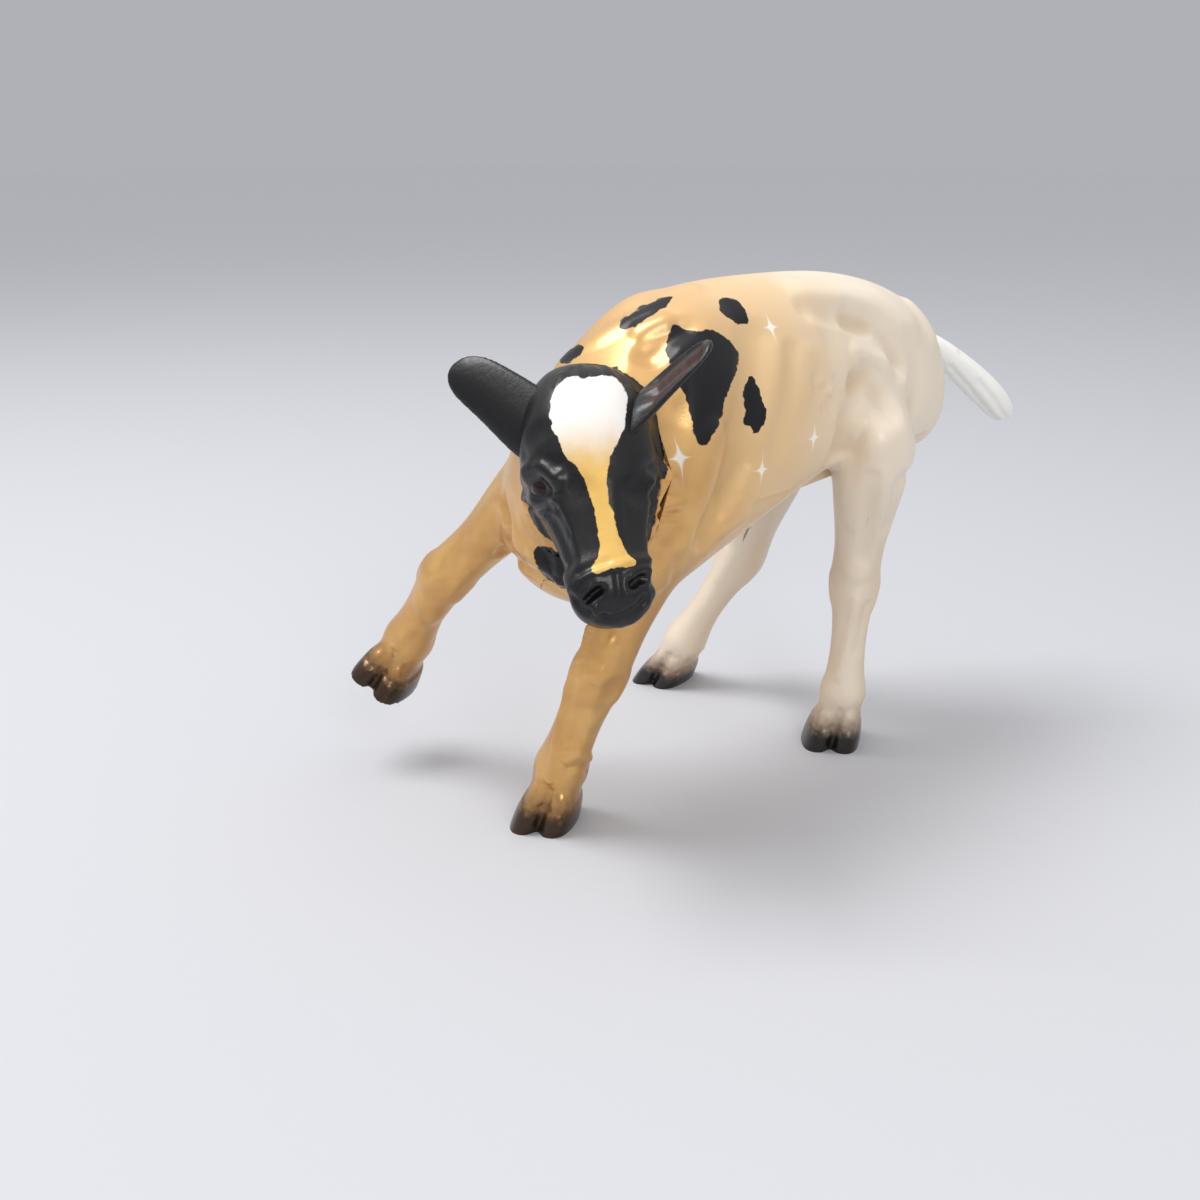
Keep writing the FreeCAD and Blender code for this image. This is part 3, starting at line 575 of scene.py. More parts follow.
@dataclass(frozen=True)
class Leg:
    """One leg with its claws and dewclaws."""

    name: str
    limb: Limb
    toes: float
    planted: bool
    # sole, fetlock, knee or hock, elbow or stifle, and the end inside the body
    place_shares: tuple
    parting: float
    outer: float
    sides: int = 16
    claw_sides: int = 12
    claw_taper: float = 0.04
    claw_box: float = 0.16
    lifted_sole: float = 0.03
    lifted_back: float = 0.04
    dewclaw_radius: float = 1.35
    dewclaw_length: float = 3.0

    def thickness(self) -> float:
        """Thickness of the knee or hock."""
        return BODY.knee_thickness if self.limb is Limb.FORE else BODY.hock_thickness

    def point(self, place: float) -> np.ndarray:
        """Point on the leg's line of joints, the place counted in joints passed."""
        joints = [body_place(*shares) for shares in self.place_shares]
        lower = min(max(int(place), 0), len(joints) - 2)
        return joints[lower] + (joints[lower + 1] - joints[lower]) * (place - lower)

    def lean(self) -> float:
        """Angle by which the cannon leans to the left."""
        shank = self.point(2) - self.point(0)
        return math.degrees(math.atan2(shank @ leftward(self.toes), shank[2]))

    def upright(self, share: float = 1.0) -> np.ndarray:
        """Direction up the leg, leaned by a share of its lean."""
        return tilted(UP, leftward(self.toes), self.lean() * share)

    def side(self) -> np.ndarray:
        """Direction square to the leg's parting plane."""
        return tilted(leftward(self.toes), UP, -self.lean())

    def forms(self) -> list[bpy.types.Object]:
        """Shaft, claws and dewclaws."""
        front = heading(self.toes)
        rings = []
        for place, forward, depth, width, share in (
                FORE_GIRTH_SHARES if self.limb is Limb.FORE else HIND_GIRTH_SHARES):
            if not self.planted and place < 1:
                share = 1.0
            upright = self.upright(share)
            girth = self.thickness()
            rings.append(ring(self.point(place) + front * (forward * girth), unit(np.cross(upright, front)),
                              front, width * girth / 2, depth * girth / 2, self.sides))
        items = [skin(self.name + "_shaft", rings)]
        for sign in (-1, 1):
            items.append(self.claw(sign))
            items.append(self.dewclaw(sign))
        return items

    def claw(self, sign: int) -> bpy.types.Object:
        """One claw of the hoof, narrower at the toe."""
        front = heading(self.toes)
        rings = []
        for place, forward, depth, half_width, offset in CLAW_SHARES:
            upright = self.upright(0.0 if self.planted else 1.0)
            across = unit(np.cross(upright, front))
            if not self.planted:
                place = max(place, self.lifted_sole * (1.0 - place))
                forward -= self.lifted_back
            centre = (self.point(place) + front * (forward * BODY.hoof_length)
                      + across * (sign * offset * BODY.hoof_width))
            rings.append(ring(centre, across, front, half_width * BODY.hoof_width,
                              depth * BODY.hoof_length / 2, self.claw_sides, self.claw_taper, self.claw_box))
        return skin("%s_claw" % self.name, rings)

    def dewclaw(self, sign: int) -> bpy.types.Object:
        """One dewclaw behind the fetlock."""
        back = -heading(self.toes)
        girth = self.thickness()
        root = self.point(0.93) + back * (girth * 0.40) + self.side() * (sign * girth * 0.26)
        out = unit(tilted(back, -self.upright(), 48))
        across = self.side()
        rings = [ring(root + out * (share * self.dewclaw_length), across, np.cross(out, across),
                      self.dewclaw_radius * girth_share, self.dewclaw_radius * girth_share, 8)
                 for share, girth_share in ((-0.6, 0.7), (0.0, 1.0), (0.55, 0.9), (0.85, 0.5))]
        return skin("%s_dewclaw" % self.name, rings, 2)

    def strokes(self) -> list[Stroke]:
        """Tendon grooves, the joint's bones and the hairline above the hoof."""
        front = heading(self.toes)
        girth = self.thickness()
        strokes = []
        for sign in (-1, 1):
            side = self.side() * sign
            groove = [self.point(p) + side * (girth * 0.36) - front * (girth * 0.10)
                      for p in (1.16, 1.35, 1.55, 1.76)]
            strokes.append(Stroke(tuple(map(tuple, groove)), 1.5, -0.50))
            bone = [self.point(p) + side * (girth * 0.46) + front * (girth * f)
                    for p, f in ((1.86, 0.12), (2.04, 0.02))]
            strokes.append(Stroke(tuple(map(tuple, bone)), 2.2, 0.28))
            brow = [self.point(0.66) + side * (girth * 0.24) + front * (girth * 0.48)]
            strokes.append(Stroke(tuple(map(tuple, brow)), 1.8, 0.30))
        cap = [self.point(p) + front * (girth * 0.52) for p in (1.82, 2.06)]
        strokes.append(Stroke(tuple(map(tuple, cap)), 2.6, 0.30))
        sole = self.point(0)
        toe_way = front * (BODY.hoof_length * 0.5)
        cleft = [sole + toe_way * 1.12, self.point(0.25) + toe_way * 1.0, self.point(0.5) + toe_way * 0.84,
                 self.point(0.74) + toe_way * 0.70]
        strokes.append(Stroke(tuple(map(tuple, cleft)), 1.0, -0.55))
        return strokes

    def hairline(self, clay: Clay) -> None:
        """Presses the step where the horn of the hoof meets the hair."""
        upright = self.upright(0.4 if self.planted else 1.0)
        height = (clay.points - self.point(0)) @ upright
        level = (self.point(0.52) - self.point(0)) @ upright
        near = np.linalg.norm(clay.points - self.point(0.5), axis=1) < BODY.hoof_length
        back = (clay.points - self.point(0.5)) @ heading(self.toes)
        away = np.abs(height - level - back * -0.16)
        share = np.where(near, np.clip(1 - (away / 0.75) ** 2, 0, 1) ** 2, 0.0)
        clay.points += clay.normals() * (share * -0.32)[:, None]

    def blends(self) -> list[Blend]:
        """Where the leg flows into the body, and the claws into the pastern."""
        blends = [Blend(tuple(self.point(3.1)), 17.0, 90), Blend(tuple(self.point(2.7)), 9.0, 20)]
        blends.append(Blend(tuple(self.point(0.72)), 5.6, 14))
        return blends

    def near(self, points: np.ndarray) -> np.ndarray:
        """Whether points lie by the lower leg's line of joints."""
        path = [self.point(p) for p in (0, 1, 2, self.parting)]
        return distance_to_path(points, path) < BODY.hoof_length

    def sole_height(self, points: np.ndarray) -> np.ndarray:
        """Height above the sole, along the leg."""
        return (points - self.point(0)) @ self.upright(0.3 if self.planted else 1.0)


LEGS = (
    Leg("foreleg_left", Limb.FORE, 30, True, (
        (-0.23, -0.327, 0.000), (-0.09, -0.337, 0.124), (0.17, -0.332, 0.339),
        (0.31, -0.270, 0.553), (0.27, -0.200, 0.720)), 2.55, 1),
    Leg("foreleg_right", Limb.FORE, 24, False, (
        (-1.42, -0.366, 0.176), (-1.27, -0.345, 0.275), (-0.90, -0.347, 0.444),
        (-0.45, -0.300, 0.600), (-0.28, -0.240, 0.760)), 2.55, -1),
    Leg("hindleg_left", Limb.HIND, 35, True, (
        (0.24, 0.262, 0.000), (0.35, 0.246, 0.124), (0.31, 0.280, 0.353),
        (0.40, 0.270, 0.640), (0.30, 0.330, 0.800)), 2.60, 1),
    Leg("hindleg_right", Limb.HIND, 12, True, (
        (-1.15, 0.289, 0.000), (-0.94, 0.270, 0.118), (-0.60, 0.310, 0.335),
        (-0.22, 0.270, 0.630), (-0.05, 0.330, 0.800)), 2.60, -1))


# Head

@dataclass(frozen=True)
class Head:
    """The head, turned to the calf's left and lowered."""

    poll_shares: tuple = (0.22, -0.372, 0.878)
    turn: float = 52.0
    nod: float = 52.0
    # along, brow, jaw, width, box, drift to the left as shares of the head's sizes
    station_shares: tuple = (
        (-0.11, -0.20, 0.50, 0.40, 0.0, 0.0), (-0.06, -0.06, 0.62, 0.60, 0.0, 0.0),
        (0.00, 0.05, 0.76, 0.78, 0.0, 0.0), (0.14, 0.16, 0.94, 0.97, 0.0, 0.0),
        (0.31, 0.15, 1.00, 1.02, 0.05, 0.0), (0.50, 0.06, 0.92, 0.84, 0.10, 0.015),
        (0.68, 0.00, 0.77, 0.62, 0.12, 0.045), (0.83, -0.01, 0.71, 0.57, 0.15, 0.06),
        (0.94, -0.05, 0.67, 0.56, 0.2, 0.06), (1.00, -0.13, 0.58, 0.46, 0.2, 0.06),
        (1.03, -0.24, 0.46, 0.28, 0.1, 0.06))
    face_roll: float = 9.0
    core_share: float = 0.42
    sides: int = 16
    taper: float = -0.10
    chin_taper: float = 0.24

    def poll(self) -> np.ndarray:
        """Place of the poll."""
        return body_place(*self.poll_shares)

    def axes(self) -> tuple[np.ndarray, np.ndarray, np.ndarray]:
        """Directions to the muzzle, to the head's left and out of the brow."""
        face = heading(self.turn)
        return tilted(face, -UP, self.nod), leftward(self.turn), tilted(UP, face, self.nod)

    def local(self, points: np.ndarray) -> np.ndarray:
        """Rows of distances along the face, to its left and out of the brow."""
        return (points - self.poll()) @ np.stack(self.axes(), axis=1)

    def mirror(self, point: np.ndarray) -> np.ndarray:
        """The same place on the other side of the face."""
        side = self.face_side()
        core = self.poll() - self.axes()[2] * (self.core_share * BODY.head_depth)
        return point - side * (2 * ((point - core) @ side))

    def face_side(self) -> np.ndarray:
        """Direction square to the middle of the face, which looks a little to the left."""
        _, left, brow_way = self.axes()
        return tilted(left, -brow_way, self.face_roll)

    def form(self) -> bpy.types.Object:
        """Smooth form of the head."""
        muzzle, left, brow_way = self.axes()
        rings = []
        for along, brow, jaw, width, box, drift in self.station_shares:
            centre = (self.poll() + muzzle * (along * BODY.head_length)
                      + brow_way * ((brow - jaw) / 2 * BODY.head_depth) + left * (drift * BODY.head_width))
            rings.append(ring(centre, left, brow_way, width * BODY.head_width / 2,
                              (brow + jaw) / 2 * BODY.head_depth, self.sides,
                              float(self.narrowing(np.array(along))), box))
        return skin("head_form", rings)

    def narrowing(self, along: np.ndarray) -> np.ndarray:
        """Taper of the sections towards the brow, at shares of the head's length."""
        return self.taper - self.chin_taper * fade(along, 0.6, 0.95)


HEAD = Head()
TRUNK = Trunk()
TAIL = Tail()

EYE_PIXEL = (539, 489)
EYE_RADIUS = 2.7

HEAD_STROKES = (
    # Eye socket, brow and lids
    Stroke(((539, 489),), 4.4, -1.25, True),
    Stroke(((527, 474), (540, 469), (555, 478)), 2.2, 1.00, True),
    Stroke(((525, 497), (537, 503), (552, 501)), 1.4, 0.55, True),
    Stroke(((527, 504), (540, 510), (555, 507)), 0.9, -0.35, True),
    Stroke(((530, 510), (543, 516), (556, 513)), 0.9, 0.28, True),
    Stroke(((533, 462), (545, 460), (556, 466)), 0.9, -0.30, True),
    # Cheek, its folds and the jaw
    Stroke(((531, 520), (541, 535)), 4.6, 0.70, True),
    Stroke(((549, 512), (561, 536), (569, 560)), 2.2, -0.60, True),
    Stroke(((537, 516), (549, 542), (562, 570)), 0.9, 0.38, True),
    Stroke(((529, 518), (540, 544), (556, 574)), 0.8, -0.40, True),
    Stroke(((532, 528), (545, 556), (561, 582)), 0.7, 0.32, True),
    Stroke(((552, 514), (564, 540)), 0.8, 0.30, True),
    Stroke(((558, 512), (568, 534)), 0.7, -0.26, True),
    Stroke(((524, 452), (530, 440), (538, 432)), 2.4, -0.35, True),
    # Planes of the nasal bone
    Stroke(((582, 496), (590, 545)), 3.4, -0.50, True),
    Stroke(((560, 470), (575, 490)), 3.0, -0.35, True),
    Stroke(((610, 480), (616, 520), (622, 552)), 2.2, 0.36),
    # Muzzle: nostrils with rims and wings, the edge of the nose pad, lips
    Stroke(((587, 600), (592, 595), (598, 590)), 1.25, -1.30),
    Stroke(((583, 597), (588, 590), (597, 585)), 1.1, 0.60),
    Stroke(((586, 606), (592, 605)), 0.9, 0.40),
    Stroke(((634, 584), (640, 578), (646, 576)), 1.15, -1.20),
    Stroke(((632, 576), (641, 570), (649, 571)), 1.0, 0.50),
    Stroke(((579, 581), (590, 574), (604, 569), (628, 562), (650, 560)), 1.1, 0.42),
    Stroke(((579, 574), (592, 567), (606, 562)), 0.9, -0.30),
    Stroke(((572, 596), (580, 607), (594, 615), (612, 619), (632, 612), (648, 600)), 0.85, -0.62),
    Stroke(((617, 572), (619, 592), (618, 610)), 0.7, -0.34),
    Stroke(((600, 622), (620, 625), (638, 618)), 1.6, 0.40),
    Stroke(((566, 578), (572, 590)), 1.6, 0.40, True),
    # Hair of the poll and of the tuft behind the jaw
    Stroke(((572, 368), (570, 380)), 0.6, -0.28, True),
    Stroke(((580, 365), (579, 379)), 0.6, 0.26, True),
    Stroke(((588, 364), (588, 377)), 0.55, -0.26, True),
    Stroke(((561, 373), (557, 386)), 0.6, 0.24, True),
    Stroke(((540, 556), (560, 576)), 2.6, 0.80),
    Stroke(((537, 552), (552, 574)), 0.6, -0.35),
    Stroke(((543, 550), (560, 572)), 0.6, -0.35),
    Stroke(((549, 551), (565, 568)), 0.6, -0.35),
)

BODY_STROKES = (
    # Neck: crest, the hollow behind the head, withers
    Stroke(((560, 362), (600, 338), (650, 312), (690, 288)), 3.0, 0.40),
    Stroke(((648, 350), (664, 340), (684, 330)), 3.2, -1.00),
    Stroke(((640, 330), (662, 322)), 2.4, 0.60),
    Stroke(((655, 362), (668, 390), (674, 425)), 4.5, -0.90),
    Stroke(((700, 320), (708, 372), (700, 430), (690, 480)), 7.0, 0.90, True),
    # Back edge of the shoulder and the elbow against the belly
    Stroke(((756, 340), (753, 390), (742, 440), (732, 476)), 5.0, -0.80, True),
    Stroke(((744, 462), (730, 486), (718, 508), (708, 528)), 4.6, -1.35),
    Stroke(((712, 440), (704, 476), (694, 510), (684, 536)), 4.2, 0.90),
    Stroke(((724, 486), (712, 508), (703, 528)), 1.6, -0.80),
    Stroke(((728, 524), (742, 514)), 3.6, 0.90),
    # Ribs and the folds of the flank
    Stroke(((776, 350), (770, 400), (758, 446)), 3.4, 0.30, True),
    Stroke(((792, 352), (788, 402), (776, 450)), 2.8, -0.28, True),
    Stroke(((808, 356), (805, 400)), 3.0, 0.28, True),
    Stroke(((814, 378), (818, 386), (826, 388)), 1.2, -0.50),
    Stroke(((816, 390), (826, 396), (832, 405)), 1.3, -0.50),
    Stroke(((824, 408), (834, 412)), 1.1, -0.40),
    Stroke(((836, 380), (846, 394)), 1.2, -0.40),
    Stroke(((822, 384), (830, 392)), 1.2, 0.40),
    # Loin furrow, hip bone and the hollow of the flank
    Stroke(((806, 308), (840, 312), (866, 320)), 3.2, -0.75, True),
    Stroke(((852, 315), (876, 326), (892, 343), (898, 366)), 3.8, -1.20, True),
    Stroke(((806, 292), (842, 294), (878, 302), (906, 326)), 5.6, 0.85, True),
    Stroke(((838, 332), (856, 344), (866, 362)), 6.0, -0.80, True),
    Stroke(((860, 350), (882, 362), (902, 380)), 2.4, 0.85, True),
    Stroke(((868, 378), (876, 396), (884, 412)), 4.0, -1.10, True),
    Stroke(((858, 384), (864, 412)), 3.2, -0.40),
    Stroke(((908, 345), (918, 372), (914, 402)), 4.0, -0.70, True),
    Stroke(((912, 302), (932, 336)), 3.0, 0.60, True),
    # Thigh, stifle fold and gaskin
    Stroke(((884, 420), (902, 432), (910, 448)), 7.0, 0.80, True),
    Stroke(((864, 424), (878, 440)), 4.6, 0.80, True),
    Stroke(((858, 388), (848, 422), (838, 452)), 4.4, -1.40, True),
    Stroke(((842, 462), (848, 490), (850, 520)), 3.2, 0.50),
    Stroke(((918, 440), (900, 482), (888, 526)), 2.6, -0.80),
    Stroke(((872, 478), (868, 520), (862, 556)), 2.2, -0.55),
    Stroke(((850, 572), (862, 574)), 2.4, 0.50),
    Stroke(((856, 600), (848, 640), (838, 676)), 1.4, 0.45),
    Stroke(((868, 606), (858, 650)), 1.5, -0.40),
    # Belly seam
    Stroke(((716, 504), (748, 500), (790, 488)), 0.7, 0.25),
    # Standing foreleg: moulding ridge down the shin, muscle and knee
    Stroke(((596, 612), (590, 628), (583, 655), (568, 690), (560, 722), (553, 756), (549, 780)), 1.0, 0.80),
    Stroke(((574, 640), (562, 680)), 2.4, -0.50),
    Stroke(((606, 648), (602, 672)), 3.2, 0.75),
    Stroke(((612, 690), (600, 712)), 2.6, -0.50),
    Stroke(((590, 690), (574, 740)), 1.8, -0.55),
    Stroke(((568, 770), (580, 766), (588, 772)), 1.0, -0.50),
    Stroke(((566, 760), (578, 754), (590, 758)), 1.2, 0.50),
    Stroke(((540, 776), (534, 790)), 1.6, 0.45),
    Stroke(((654, 560), (648, 590), (640, 615)), 2.2, -0.45),
    Stroke(((664, 552), (660, 585)), 2.6, 0.50),
    # Breast: the folds between breast and raised foreleg
    Stroke(((503, 505), (510, 530), (508, 548)), 2.6, -1.10),
    Stroke(((503, 553), (520, 564), (538, 574)), 2.0, -0.90),
    Stroke(((518, 540), (532, 556)), 4.2, 0.90),
    # Raised foreleg: muscle and knee
    Stroke(((496, 500), (476, 540)), 3.4, 0.60),
    Stroke(((458, 556), (440, 590)), 2.2, -0.55),
    Stroke(((424, 606), (432, 618)), 3.0, 0.50),
    Stroke(((412, 628), (396, 646)), 1.4, 0.45),
)

BODY_BLENDS = (
    Blend(tuple(TRUNK.throat()[0]), 15.0, 26),
    Blend(tuple(TAIL.points()[1]), 7.0, 16),
)


def sculpt_skin(item: bpy.types.Object) -> Clay:
    """Blends, presses and finishes the merged skin.

    Args:
        item: The merged forms.

    Returns:
        The sculpted skin.
    """
    clay = Clay(item)
    clay.relax(np.ones(len(clay.points)), 6)
    blends = list(BODY_BLENDS) + [blend for leg in LEGS for blend in leg.blends()]
    for blend in blends:
        away = np.linalg.norm(clay.points - np.array(blend.place), axis=1)
        weights = np.clip(1.0 - (away / blend.radius) ** 2, 0.0, 1.0)
        clay.melt(weights, blend.rounds)
    clay.refresh()
    clay.plain = clay.points.copy()
    strokes = TAIL.strokes()
    for leg in LEGS:
        strokes += leg.strokes()
    for stroke in strokes + list(HEAD_STROKES):
        clay.press(stroke, HEAD.mirror)
    for stroke in BODY_STROKES:
        clay.press(stroke, TRUNK.mirror)
    for leg in LEGS:
        leg.hairline(clay)
    clay.relax(np.ones(len(clay.points)), 3)
    clay.refresh()
    return clay


# Parting the skin into the moulded parts

def bisect(item: bpy.types.Object, point: np.ndarray, normal: np.ndarray) -> None:
    """Cuts a line of edges round the skin, on a plane."""
    choose(item)
    bpy.ops.object.mode_set(mode="EDIT")
    bpy.ops.mesh.select_mode(type="FACE")
    bpy.ops.mesh.select_all(action="SELECT")
    bpy.ops.mesh.bisect(plane_co=tuple(point * MM), plane_no=tuple(normal), use_fill=False,
                        threshold=CUT_EXACTNESS * MM)
    bpy.ops.mesh.select_all(action="DESELECT")
    bpy.ops.object.mode_set(mode="OBJECT")


def face_centres(item: bpy.types.Object) -> np.ndarray:
    """Centres of the faces in millimetres."""
    flat = np.empty(len(item.data.polygons) * 3)
    item.data.polygons.foreach_get("center", flat)
    return flat.reshape(-1, 3) / MM


def take(item: bpy.types.Object, name: str, point: np.ndarray, normal: np.ndarray,
         belongs: Optional[Callable[[np.ndarray], np.ndarray]] = None) -> bpy.types.Object:
    """Parts off what lies beyond a plane.

    Args:
        item: The object that is parted.
        name: Name of the new piece.
        point: Point on the plane in millimetres.
        normal: Direction of the side that is taken.
        belongs: Test of which face centres can be taken, or None for all.

    Returns:
        The new piece. The rest stays in the old object.
    """
    bisect(item, point, normal)
    centres = face_centres(item)
    chosen = (centres - point) @ normal > 0
    if belongs is not None:
        chosen &= belongs(centres)
    item.data.polygons.foreach_set("select", chosen)
    item.data.update()
    before = set(bpy.data.objects)
    bpy.ops.object.mode_set(mode="EDIT")
    bpy.ops.mesh.separate(type="SELECTED")
    bpy.ops.object.mode_set(mode="OBJECT")
    piece = (set(bpy.data.objects) - before).pop()
    piece.name = name
    return piece


def close(item: bpy.types.Object) -> None:
    """Closes the parted edges with flat faces, and shades the skin smooth up to them."""
    choose(item)
    bpy.ops.object.mode_set(mode="EDIT")
    bpy.ops.mesh.select_mode(type="EDGE")
    bpy.ops.mesh.select_all(action="DESELECT")
    bpy.ops.mesh.select_non_manifold(extend=False)
    bpy.ops.mesh.fill_holes(sides=0)
    bpy.ops.object.mode_set(mode="OBJECT")
    bpy.ops.object.shade_smooth_by_angle(angle=math.radians(55))


# Paint

def linear(hex_colour: str) -> tuple[float, float, float, float]:
    """Linear colour of an sRGB hex value."""
    values = [int(hex_colour[n:n + 2], 16) / 255 for n in (1, 3, 5)]
    scaled = [v / 12.92 if v <= 0.04045 else ((v + 0.055) / 1.055) ** 2.4 for v in values]
    return (*scaled, 1.0)


def add_node(tree: bpy.types.NodeTree, kind: str, settings: Optional[dict] = None,
             inputs: Optional[dict] = None) -> bpy.types.Node:
    """Adds a shader node.

    Args:
        tree: The material's node tree.
        kind: Type name of the node.
        settings: Properties of the node.
        inputs: Values or output sockets for its inputs, by name or number.

    Returns:
        The node.
    """
    node = tree.nodes.new(kind)
    for name, value in (settings or {}).items():
        setattr(node, name, value)
    for name, value in (inputs or {}).items():
        if isinstance(value, bpy.types.NodeSocket):
            tree.links.new(value, node.inputs[name])
        else:
            node.inputs[name].default_value = value
    return node


def blank_material(name: str) -> tuple[bpy.types.Material, bpy.types.NodeTree]:
    """A material with an empty node tree."""
    material = bpy.data.materials.new(name)
    material.use_nodes = True
    material.node_tree.nodes.clear()
    return material, material.node_tree


class Paintwork:
    """Node helpers that the painted finishes share."""

    def __init__(self, name: str) -> None:
        """Starts the material."""
        self.material, self.tree = blank_material(name)
        self.place = add_node(self.tree, "ShaderNodeTexCoord").outputs["Object"]

    def noise(self, grain_mm: float, detail: float = 3.0) -> bpy.types.NodeSocket:
        """Noise whose grain has a real size."""
        node = add_node(self.tree, "ShaderNodeTexNoise", None,
                        {"Vector": self.place, "Scale": 1.0 / (grain_mm * MM), "Detail": detail})
        return node.outputs["Fac"]

    def layer(self, name: str) -> bpy.types.NodeSocket:
        """A value that is stored on the skin."""
        return add_node(self.tree, "ShaderNodeAttribute", {"attribute_name": name}).outputs["Fac"]

    def maths(self, operation: str, first: object, second: object = 0.0) -> bpy.types.NodeSocket:
        """Sum, product or other operation on two values."""
        node = add_node(self.tree, "ShaderNodeMath", {"operation": operation}, {0: first, 1: second})
        return node.outputs[0]

    def ramp(self, value: bpy.types.NodeSocket, low: float, high: float) -> bpy.types.NodeSocket:
        """Smooth step of a value from 0 at low to 1 at high."""
        node = add_node(self.tree, "ShaderNodeMapRange", {"interpolation_type": "SMOOTHSTEP"},
                        {"Value": value, "From Min": low, "From Max": high})
        return node.outputs["Result"]

    def mix(self, share: object, first: object, second: object) -> bpy.types.NodeSocket:
        """Colour between two."""
        node = add_node(self.tree, "ShaderNodeMix", {"data_type": "RGBA"},
                        {"Factor": share, 6: first, 7: second})
        return node.outputs[2]

    def finish(self, colour: bpy.types.NodeSocket, roughness: object, bump: bpy.types.NodeSocket,
               bump_mm: float, fixed: dict) -> bpy.types.Material:
        """Ends the material with its shader."""
        relief = add_node(self.tree, "ShaderNodeBump", None,
                          {"Height": bump, "Distance": bump_mm * MM, "Strength": 1.0})
        inputs = {"Base Color": colour, "Roughness": roughness, "Normal": relief.outputs["Normal"]}
        shader = add_node(self.tree, "ShaderNodeBsdfPrincipled", None, {**inputs, **fixed})
        add_node(self.tree, "ShaderNodeOutputMaterial", None, {"Surface": shader.outputs["BSDF"]})
        return self.material


